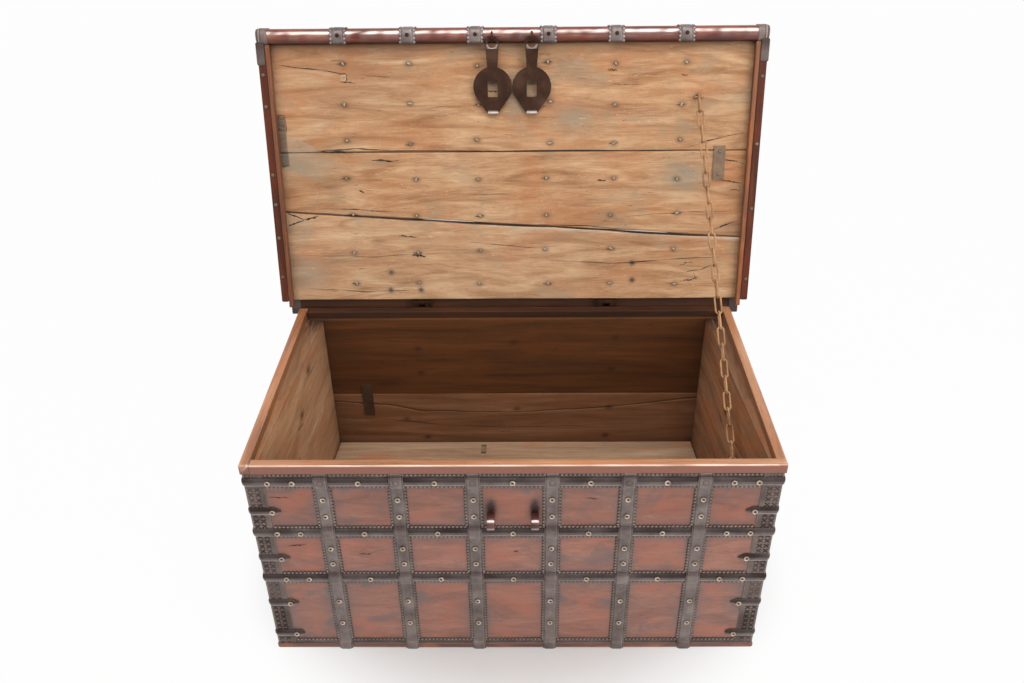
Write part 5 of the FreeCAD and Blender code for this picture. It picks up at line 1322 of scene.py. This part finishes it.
def makeLidNails():
    # Domed heads on the side rails, and under the planks clenched tips: the same dome, smaller, drawn out
    # along a seeded direction in the plank by 0.6 to 1.4 times, each with a dark rim.
    rng = np.random.default_rng(32)
    length, sectors = railNails["last"] - railNails["first"], railNails["sectors"]
    rail = [(hand * railNails["x"], railNails["first"] + length * share, railNails["face"])
            for hand, side in zip(hands, ("left", "right")) for share in railNails[side]]
    centres = np.vstack([rail, nailSpots])
    turn = rng.uniform(0, np.pi, len(centres))
    ups = np.stack([np.cos(turn), np.sin(turn), 0 * turn], -1)
    radii = (headEnd, *(railNails["radius"] * share for share in railNails["radii"]), headEnd)
    heights = (railNails["sunk"], railNails["sunk"],
               *(railNails["tall"] * share for share in railNails["heights"]))
    points, faces = domes(centres, rowsOf(-zWay, len(centres)), ups, radii, heights, sectors)
    each = np.repeat(np.arange(len(centres)), len(radii) * sectors)
    clenched = each >= len(rail)
    gap = points - centres[each]
    longer = np.where(clenched, rng.uniform(0.6, 1.4, len(centres))[each], 1.0)[:, None]
    along = (gap * ups[each]).sum(1, keepdims=True) * ups[each]
    flat = gap * np.array([1, 1, 0]) - along
    narrow, lower = (np.where(clenched, railNails[label], 1.0)[:, None]
                     for label in ("clenchWide", "clenchTall"))
    points = centres[each] + along * longer + flat * narrow + gap * zWay * lower
    ring = np.tile(np.repeat(railNails["grimeAndShade"], sectors), len(centres))
    patch = 0.5 + 0.5 * ripple(points[:, 0] * 700, points[:, 1] * 700, 33)
    marks = {"wearAndHighlight": (1 - ring) * patch * np.where(clenched, 0.5, 0.1),
             "grimeAndShade": np.where(clenched, 0.75 * ring, 0.6 + 0.4 * ring)}
    makePiece("iron_lid_nails", onLid(points), faces, "lid", irons["nailIron"], ["lid_nails"], marks,
              headMerge)


makeLidNails()

# a wooden plug let into the front plank
plugLook = dict(low=(-0.3535, -0.4925, -0.0092), high=(-0.3405, -0.4795, -0.0070), soft=0.0008, step=0.002,
                wearAndHighlight=0.1)
points, faces, marks = boxBoard(plugLook["low"], plugLook["high"], grainXFlat, 86, plugLook["soft"],
                                step=plugLook["step"])
makePiece("wood_lid_plug", onLid(points), faces, "lid", woods["lidWood"], (),
          dict(marks, wearAndHighlight=np.full(len(points), plugLook["wearAndHighlight"])))

# two rivets through the mending plate on the lid
plateRivet = dict(up=xWay, radii=(0.0036, 0.0034, 0.002), heights=(-0.0002, -0.0002, 0.0004, 0.0012, 0.0014),
                  sectors=12, shares=(0.17, 0.83))
plateLow, plateHigh = lidBox("lid_mending_plate")
rivets = [((plateLow[0] + plateHigh[0]) / 2, plateLow[1] + (plateHigh[1] - plateLow[1]) * share, plateLow[2])
          for share in plateRivet["shares"]]
lidBelow = turnLid(-zWay, lidTurn["angle"])  # the way the lid's underside faces when open
makeHeads("iron_lid_plate_rivets", "lid", "nailIron", onLid(rivets), rowsOf(lidBelow, len(rivets)),
          plateRivet, flatGrime)


# Hasps: flat plates with an eye hole and a slot, and a turned-out tab
haspLook = dict(thick=0.004, bevel=0.0007, rest=math.radians(7), hole=0.0088, holeDrop=0.01385, head=0.0143,
                neck=0.0138, neckIn=0.0036, neckOver=0.048, disc=0.0395, discDrop=0.099, tipDrop=0.152,
                tip=0.011, leave=0.55, slotWide=0.0205, slotTall=0.0335, slotDrop=0.103, slotSoft=0.002,
                rub=0.002, tab=0.008, curl=0.005, tabThick=0.0019, tabCorner=0.3)


def haspHalfWidth(drop):
    # the widest of head circle, neck and disc at each drop, and below the disc a straight taper to the tip
    head, disc = (np.sqrt(np.maximum(haspLook[part] ** 2 - (drop - haspLook[at]) ** 2, 0))
                  for part, at in (("head", "holeDrop"), ("disc", "discDrop")))
    below = drop - haspLook["holeDrop"]
    narrowed = haspLook["neck"] - haspLook["neckIn"] * ramp(below, haspLook["neckOver"])
    neck = np.where((below > 0) & (drop < haspLook["discDrop"]), narrowed, 0)
    start = haspLook["discDrop"] + haspLook["disc"] * haspLook["leave"]
    wide = haspLook["disc"] * math.sqrt(1 - haspLook["leave"] ** 2)
    taper = wide + (haspLook["tip"] - wide) * ramp(drop - start, haspLook["tipDrop"] - start)
    return np.where(drop > start, taper, np.maximum(np.maximum(head, disc), neck))


def roundRing(halfWide, halfTall, drop, soft, count):
    # a rectangle with corners rounded by soft, or a circle where soft is all of its half width
    angle = np.linspace(0, 2 * np.pi, count, endpoint=False)
    c, s = np.cos(angle), np.sin(angle)
    return np.stack([np.sign(c) * (halfWide - soft) + soft * c,
                     -drop + np.sign(s) * (halfTall - soft) + soft * s], -1)


def haspPlate():
    # the outline with its eye hole and slot as a filled curve, drawn in by the bevel that grows it back
    inset = haspLook["bevel"]
    turn = np.linspace(0, np.pi / 2, 12)
    cap = haspLook["holeDrop"] - haspLook["head"] + haspLook["head"] * (1 - np.cos(turn))
    drop = np.concatenate([cap, np.linspace(haspLook["holeDrop"] + 0.002, haspLook["tipDrop"], 70)])
    half = haspHalfWidth(drop) - inset
    outline = np.concatenate([np.stack([half, -drop], -1), np.stack([-half, -drop], -1)[::-1]])
    eye = haspLook["hole"] + inset
    hole = roundRing(eye, eye, haspLook["holeDrop"], eye, 32)
    slot = roundRing(haspLook["slotWide"] / 2 + inset, haspLook["slotTall"] / 2 + inset, haspLook["slotDrop"],
                     haspLook["slotSoft"], 24)
    curve = bpy.data.curves.new("haspOutline", "CURVE")
    curve.dimensions = "2D"
    curve.fill_mode = "BOTH"
    curve.extrude = haspLook["thick"] / 2 - inset
    curve.bevel_depth = inset
    curve.bevel_resolution = 1
    for ring in (outline, hole, slot):
        spline = curve.splines.new("POLY")
        spline.points.add(len(ring) - 1)
        spline.points.foreach_set("co", np.c_[ring, np.zeros(len(ring)), np.ones(len(ring))].ravel())
        spline.use_cyclic_u = True
    flat = bpy.data.objects.new("haspOutline", curve)
    bpy.context.scene.collection.objects.link(flat)
    bpy.context.view_layer.update()
    mesh = bpy.data.meshes.new_from_object(flat.evaluated_get(bpy.context.evaluated_depsgraph_get()))
    bpy.data.objects.remove(flat)
    return vertexPlaces(mesh), [list(polygon.vertices) for polygon in mesh.polygons]


def makeHasp(side):
    # The flat plate hung from its eye, leaning as it rests against the open lid, worn under the eye hole. The
    # tab is a bar carried down the plate, round a quarter circle and out, with a painted highlight growing
    # towards its end by s^3.
    body = "hasp_" + side
    pivot = np.array(joints[body + "_swing"]["pos_m"])
    lean = lidTurn["angle"] - math.pi / 2 - haspLook["rest"]
    down = np.array([0.0, -math.sin(lean), -math.cos(lean)])
    face = np.array([0.0, -math.cos(lean), math.sin(lean)])
    local, faces = haspPlate()
    points = pivot + local[:, :1] * xWay - local[:, 1:2] * down + local[:, 2:] * face
    rimGap = np.hypot(local[:, 0], local[:, 1] + haspLook["holeDrop"]) - haspLook["hole"]
    wearAndHighlight = 0.55 * np.clip(1 - rimGap / haspLook["rub"], 0, 1) * (local[:, 1] < -haspLook["holeDrop"])
    makePiece("iron_" + body, points, faces, body, irons["haspIron"], [body], {"wearAndHighlight": wearAndHighlight},
              1e-6, False)
    bend = np.linspace(0, np.pi / 2, 7)
    curl, tip = haspLook["curl"], haspLook["tipDrop"]
    curved = np.stack([curl * (1 - np.cos(bend)), tip - 0.002 - curl + curl * np.sin(bend)], -1)
    line = np.concatenate([[(0.0, tip - 0.006)], curved, [(haspLook["tab"] + 0.0015, tip - 0.002)]])
    path = pivot + line[:, :1] * face + line[:, 1:2] * down
    across = rowsOf(xWay, len(path))
    section = barSection(haspLook["tip"], haspLook["tabThick"], haspLook["tabCorner"])
    points, faces, _ = closedSweep(section, path, across, normalsOf(path, across))
    wearAndHighlight = np.repeat(np.linspace(0, 1, len(path)) ** 3, len(section)) * 0.7
    makePiece("iron_hasp_tab_" + side, points, faces, body, irons["haspIron"], (), {"wearAndHighlight": wearAndHighlight})


for side in ("left", "right"):
    makeHasp(side)
print("hasps and lid iron done")


# Chain: oval links, edge-on and flat by turns
chainLook = dict(pair=0.064, inside=0.0323, width=0.008, wire=0.002, play=0.0003, around=10, bend=11,
                 counts=dict(chain_run_top=4, chain_pair_1=1, chain_pair_2=1, chain_pair_3=1, chain_pair_4=1,
                             chain_pair_5=1, chain_run_end=3))


def linkGrid():
    # a round wire along a closed oval: two half circles and two straight sides, upper crown on the origin
    wire = chainLook["wire"]
    ring = chainLook["width"] / 2 + wire
    straight = chainLook["inside"] - chainLook["width"]
    turn = np.linspace(0, np.pi, chainLook["bend"])
    half = np.stack([np.cos(turn), np.sin(turn)], -1)
    line = np.vstack([ring * half - (0, ring), -ring * half - (0, ring + straight)])
    out = np.vstack([half, -half])
    around = np.linspace(0, 2 * np.pi, chainLook["around"], endpoint=False)
    x, z = (line[:, axis:axis + 1] + out[:, axis:axis + 1] * wire * np.cos(around) for axis in (0, 1))
    return np.stack([x, np.broadcast_to(wire * np.sin(around), x.shape), z], -1)


def makeChain():
    # The links hang on a straight line between the first and the last pivot, each pair starting one pitch
    # after the last: point = first + along * top + x * across + y * through - z * along, the axes across and
    # through changing by turns.
    first, last = (np.array(joints["chain_bend_%d" % number]["pos_m"]) for number in (0, 6))
    along = (last - first) / np.linalg.norm(last - first)
    wide = xWay - along * along[0]
    wide = wide / np.linalg.norm(wide)
    deep = np.cross(along, wide)
    grid = linkGrid()
    quads = gridFaces(*grid.shape[:2], True, True).tolist()
    wire, play = chainLook["wire"], chainLook["play"]
    pair = 0
    for node, count in chainLook["counts"].items():
        grids = []
        for number in range(pair, pair + count):
            edgeTop = number * chainLook["pair"] - 2 * wire - play
            flatTop = number * chainLook["pair"] + chainLook["inside"] - 2 * wire - 2 * play
            for top, across, through in ((edgeTop, deep, -wide), (flatTop, wide, deep)):
                points = (first + along * top + grid[..., :1] * across + grid[..., 1:2] * through
                          - grid[..., 2:] * along)
                grids.append((points, quads, {}))
        pair += count
        makeJoined("iron_" + node, grids, node, irons["chainIron"], [node])


makeChain()
print("chain done")


# Splits in the wood: narrow dark lenses lying on the boards, painted shade for the cracks
def splitLens(line, width, out, seed):
    # across a wandering line, half width = width/2 * sin(pi s)^0.6 * (0.6 + 0.4 ripple), just off the board
    line = np.asarray(line, float)
    steps = runLength(line)
    s = np.linspace(0, 1, 40)
    path = np.stack([np.interp(s * steps[-1], steps, line[:, axis]) for axis in range(3)], -1)
    across = np.cross(np.gradient(path, axis=0), out)
    across /= np.linalg.norm(across, axis=1, keepdims=True)
    path = path + across * (0.0012 * ripple(s * 14, 0.0, seed))[:, None]
    half = across * (width / 2 * np.sin(np.pi * s) ** 0.6 * (0.6 + 0.4 * ripple(s * 30, 1.0, seed)))[:, None]
    lift = np.asarray(out) * 0.00025
    grid = np.stack([path - half + lift, path + lift * 1.3, path + half + lift], 1)
    return grid, gridFaces(len(s), 3).tolist(), {}


# lid splits: width, then (x, back) points on the underside of the shut lid
lidSplits = [
    (0.0022, (-0.487, -0.513), (-0.40, -0.503), (-0.335, -0.492)), (0.0014, (-0.30, -0.49), (-0.25, -0.486)),
    (0.003, (-0.42, -0.338), (-0.33, -0.342), (-0.25, -0.338)), (0.004, (-0.30, -0.318), (-0.24, -0.316)),
    (0.0022, (0.05, -0.178), (0.16, -0.174), (0.27, -0.164)),
    (0.0013, (0.25, -0.196), (0.36, -0.203), (0.47, -0.204)),
    (0.0018, (0.08, -0.098), (0.22, -0.090), (0.33, -0.098), (0.48, -0.104)),
    (0.0014, (-0.47, -0.112), (-0.30, -0.108), (-0.12, -0.117)),
    (0.0012, (-0.10, -0.14), (0.02, -0.128), (0.10, -0.13)),
    (0.0016, (-0.46, -0.035), (-0.33, -0.028), (-0.2, -0.032)),
    (0.0022, (0.36, -0.34), (0.42, -0.356), (0.485, -0.372)),
    (0.0022, (0.43, -0.318), (0.487, -0.306)), (0.002, (0.46, -0.252), (0.487, -0.25)),
    (0.002, (-0.42, -0.215), (-0.34, -0.213), (-0.26, -0.207)),
    (0.002, (0.36, -0.068), (0.41, -0.074), (0.44, -0.09)),
    (0.0011, (-0.1, -0.245), (0.0, -0.243)), (0.0011, (-0.18, -0.425), (-0.1, -0.428)),
    (0.0011, (0.2, -0.47), (0.27, -0.468)), (0.003, (0.42, -0.16), (0.485, -0.185)),
    (0.004, (-0.488, -0.206), (-0.470, -0.198), (-0.453, -0.1905)),
    (0.004, (-0.489, -0.1775), (-0.453, -0.1905)),
    (0.005, (-0.453, -0.1905), (-0.42, -0.199)), (0.0018, (-0.3545, -0.494), (-0.339, -0.494)),
    (0.0022, (-0.3545, -0.478), (-0.322, -0.476)), (0.0018, (-0.339, -0.494), (-0.3395, -0.478)),
    (0.0035, (-0.052, -0.457), (-0.028, -0.4575)), (0.002, (0.36, -0.083), (0.383, -0.092), (0.394, -0.09)),
    (0.0028, (0.366, -0.048), (0.39, -0.052), (0.405, -0.058)), (0.0014, (0.395, -0.07), (0.402, -0.052)),
    (0.003, (0.44, -0.272), (0.487, -0.265)), (0.003, (0.345, -0.488), (0.36, -0.486)),
    (0.004, (0.195, -0.4985), (0.215, -0.4975)), (0.005, (0.178, -0.274), (0.198, -0.272)),
    (0.006, (-0.224, -0.112), (-0.192, -0.108)), (0.002, (-0.49, -0.412), (-0.473, -0.411)),
    (0.0018, (-0.473, -0.412), (-0.4735, -0.375)), (0.002, (-0.49, -0.306), (-0.473, -0.307)),
    (0.004, (-0.414, -0.338), (-0.38, -0.3355), (-0.335, -0.334)), (0.003, (-0.25, -0.155), (-0.21, -0.151)),
    (0.004, (-0.33, -0.255), (-0.318, -0.249)), (0.003, (-0.31, -0.21), (-0.30, -0.209)),
]
# along both seams, and beside every third nail
seamX = np.linspace(-0.42, 0.488, 12)
lidSplits += [(0.0032, *((x, -0.3372 + 0.0035 * (x + 0.42)) for x in seamX)),
              (0.006, *((x, slantedSeam(x) + 0.0012) for x in seamX))]
lidSplits += [(0.0022, (x - 0.013, back + 0.001), (x + 0.010, back - 0.001))
              for x, back in nailSpots[::3, :2]]
grids = [splitLens(onLid([(x, back, underside - 0.0003) for x, back in line]), width, lidBelow, 100 + index)
         for index, (width, *line) in enumerate(lidSplits)]
makeJoined("splits_lid", grids, "lid", splitShadow)

# chest splits: the way a board faces, how a pair becomes a point on it, then width and pairs as above
wallSplits = [
    ((0, -1, 0), lambda x, z: (x, 0.2456, z),  # back wall
     [(0.0022, (-0.42, 0.192), (-0.30, 0.186), (-0.18, 0.168), (-0.02, 0.162), (0.2, 0.166)),
      (0.0016, (-0.05, 0.148), (0.0, 0.147))]),
    ((0, 0, 1), lambda x, y: (x, y, 0.1152),  # floor boards
     [(0.0016, (-0.30, 0.10), (0.0, 0.104), (0.28, 0.10)), (0.003, (0.16, 0.17), (0.30, 0.168))]),
    ((0, -1, 0), lambda x, z: (x, -0.2662, z),  # front panels
     [(0.003, (-0.42, 0.283), (-0.385, 0.287)), (0.002, (-0.36, 0.297), (-0.335, 0.295)),
      (0.003, (-0.29, 0.262), (-0.265, 0.261)), (0.003, (0.0, 0.268), (0.01, 0.268)),
      (0.002, (-0.44, 0.405), (-0.40, 0.402)), (0.0025, (0.13, 0.40), (0.155, 0.399))]),
    ((1, 0, 0), lambda y, z: (0.0004 - insideAt(y), y, z),  # left end
     [(0.004, (-0.02, 0.36), (0.02, 0.35)), (0.005, (-0.09, 0.31), (-0.03, 0.30)),
      (0.002, (0.05, 0.42), (0.16, 0.415))]),
    ((-1, 0, 0), lambda y, z: (insideAt(y) - 0.0004, y, z),  # right end
     [(0.004, (0.02, 0.33), (0.08, 0.34)), (0.003, (-0.10, 0.36), (-0.04, 0.355)),
      (0.002, (0.0, 0.41), (0.14, 0.40)), (0.002, (-0.02, 0.25), (0.12, 0.255))]),
]
grids = []
for out, place, splits in wallSplits:
    for width, *line in splits:
        grids.append(splitLens([place(*pair) for pair in line], width, out, 200 + len(grids)))
makeJoined("splits_chest", grids, "chest", splitShadow)

# CAD nodes that stay as they are and only take a finish
kept = dict(
    haspIron=("hinge_pins", "hasp_eyes"),
    mendIron=("lid_mending_plate",),
    wallIron=("mending_plate_back",),
    # the hinge leaves take a near-black finish as painted shade
    hingeShadeIron=("hinge_leaves", "lid_hinge_leaves"),
    chainIron=("chain_eye", "chain_anchor"),
)
for finish, nodes in kept.items():
    for node in nodes:
        frame["nodes"][node].data.materials.clear()
        frame["nodes"][node].data.materials.append(irons[finish])

# a small iron plate on the floor boards, with bright ends and a dark line inside each
floorPlate = dict(low=(-0.0815, 0.197, 0.1149), high=(-0.0695, 0.238, 0.1160), soft=0.0004, step=0.003,
                  bright=0.0205, dark=0.013)
points, faces, marks = boxBoard(floorPlate["low"], floorPlate["high"], grainYFlat, 93, floorPlate["soft"],
                                step=floorPlate["step"])
ends = np.abs(points[:, 1] - (floorPlate["low"][1] + floorPlate["high"][1]) / 2)
makePiece("iron_floor_plate", points, faces, "chest", irons["nailIron"], (),
          {"wearAndHighlight": 0.3 * bell(ends - floorPlate["bright"], 0.002),
           "grimeAndShade": bell(ends - floorPlate["dark"], 0.0025)})

# bearers under the floor boards, cut to the end boards like them
bearerLook = dict(wide=0.030, soft=0.002, step=0.02)
lowBearer, highBearer = chestBox("floor_bearers")
grids = []
for y, seed in ((lowBearer[1], 91), (highBearer[1] - bearerLook["wide"], 92)):
    low, high = (lowBearer[0], y, lowBearer[2]), (highBearer[0], y + bearerLook["wide"], highBearer[2])
    points, faces, marks = boxBoard(low, high, grainXFlat, seed, bearerLook["soft"], step=bearerLook["step"])
    points[:, 0] *= insideAt(points[:, 1]) / highBearer[0]
    grids.append((points, faces, marks))
makeJoined("wood_floor_bearers", grids, "chest", woods["backShadedWood"], ["floor_bearers"])
print("finishes on kept nodes done")


# Stage, light and camera
def seenDirectly(tree):
    # 1 for what the camera sees, straight or in a gloss, and 0 for light that falls on things
    path = addNode(tree, "LightPath")
    return addNode(tree, "Math", {"operation": "MAXIMUM"}, in0=path.outputs["Is Camera Ray"],
                   in1=path.outputs["Is Glossy Ray"]).outputs[0]


def paleFloorFinish(name, look):
    # White paper that fades into the background: near the chest it takes shadows and a faint gloss, and away
    # from it, by an oval about the chest, it glows as white as the world.
    material, tree, shader = newMaterial(name)
    setInputs(tree, shader, Base_Color=toLinear(look["colour"]), Roughness=look["roughness"])
    ground = addNode(tree, "TexCoord").outputs["Object"]
    squeezed = addNode(tree, "Mapping", Vector=ground, Scale=(*look["squeeze"], 0.0))
    away = addNode(tree, "VectorMath", {"operation": "LENGTH"}, in0=squeezed.outputs[0])
    clear = addNode(tree, "MapRange", {"interpolation_type": "SMOOTHSTEP"}, Value=away.outputs["Value"],
                    From_Min=look["near"], From_Max=look["far"], To_Min=0.05, To_Max=0.97)
    share = addNode(tree, "Math", {"operation": "MULTIPLY"}, in0=seenDirectly(tree), in1=clear.outputs[0])
    glow = addNode(tree, "Emission", Color=(1, 1, 1, 1), Strength=1.0)
    mixed = addNode(tree, "MixShader", in0=share.outputs[0], in1=shader.outputs[0], in2=glow.outputs[0])
    output = next(node for node in tree.nodes if node.type == "OUTPUT_MATERIAL")
    setInputs(tree, output, Surface=mixed.outputs[0])
    return material


floorLook = dict(reach=14.0, colour="#c4c0be", roughness=0.16, squeeze=(0.80, 0.95), near=0.27, far=0.50)
floorCorners = [(x * floorLook["reach"], y * floorLook["reach"], 0)
                for x, y in ((-1, -1), (1, -1), (1, 1), (-1, 1))]
floorMesh = bpy.data.meshes.new("studioFloor")
floorMesh.from_pydata(floorCorners, [], [(0, 1, 2, 3)])
floorMesh.materials.append(paleFloorFinish("paleFloor", floorLook))
studioFloor = bpy.data.objects.new("studioFloor", floorMesh)
bpy.context.scene.collection.objects.link(studioFloor)

world = bpy.data.worlds.new("studio")
bpy.context.scene.world = world
world.use_nodes = True
world.node_tree.nodes.clear()
strength = addNode(world.node_tree, "MapRange", Value=seenDirectly(world.node_tree), From_Min=0.0,
                   From_Max=1.0, To_Min=0.55, To_Max=1.0)
sky = addNode(world.node_tree, "Background", Color=(1, 1, 1, 1), Strength=strength.outputs[0])
addNode(world.node_tree, "OutputWorld", Surface=sky.outputs[0])

lamps = dict(
    overhead=dict(place=(0.2, -1.0, 3.0), aim=(0.0, 0.0, 0.5), size=2.4, power=44),
    topStrip=dict(place=(0.0, -0.45, 3.3), aim=(0.0, -0.2, 0.5), size=2.2, deep=0.35, power=16),
    leftSoft=dict(place=(-2.6, -1.8, 1.8), aim=(0.0, 0.0, 0.4), size=1.8, power=17),
    rightSoft=dict(place=(2.6, -2.0, 1.6), aim=(0.0, 0.0, 0.4), size=1.8, power=50),
)
for name, lamp in lamps.items():
    light = bpy.data.lights.new(name, "AREA")
    light.shape = "RECTANGLE"
    light.size = lamp["size"]
    light.size_y = lamp.get("deep", lamp["size"])
    light.energy = lamp["power"]
    holder = bpy.data.objects.new(name, light)
    bpy.context.scene.collection.objects.link(holder)
    holder.location = lamp["place"]
    holder.rotation_euler = (Vector(lamp["aim"]) - Vector(lamp["place"])).to_track_quat("-Z", "Y").to_euler()

cameraFit = dict(place=(0.0195, -1.4985, 1.5284), pitch=32.79, yaw=0.807, roll=0.687, lens=32.32)
cameraData = bpy.data.cameras.new("photoView")
cameraData.lens = cameraFit["lens"]
cameraData.sensor_width = 36.0
camera = bpy.data.objects.new("photoView", cameraData)
bpy.context.scene.collection.objects.link(camera)
cameraTurn = Matrix.Identity(4)
for degrees, axis in ((cameraFit["yaw"], "Z"), (-cameraFit["pitch"], "X"), (cameraFit["roll"], "Y"),
                      (90, "X")):
    cameraTurn = cameraTurn @ Matrix.Rotation(math.radians(degrees), 4, axis)
camera.matrix_world = Matrix.Translation(cameraFit["place"]) @ cameraTurn
bpy.context.scene.camera = camera
bpy.context.scene.view_settings.view_transform = "Standard"

print("scene ready")
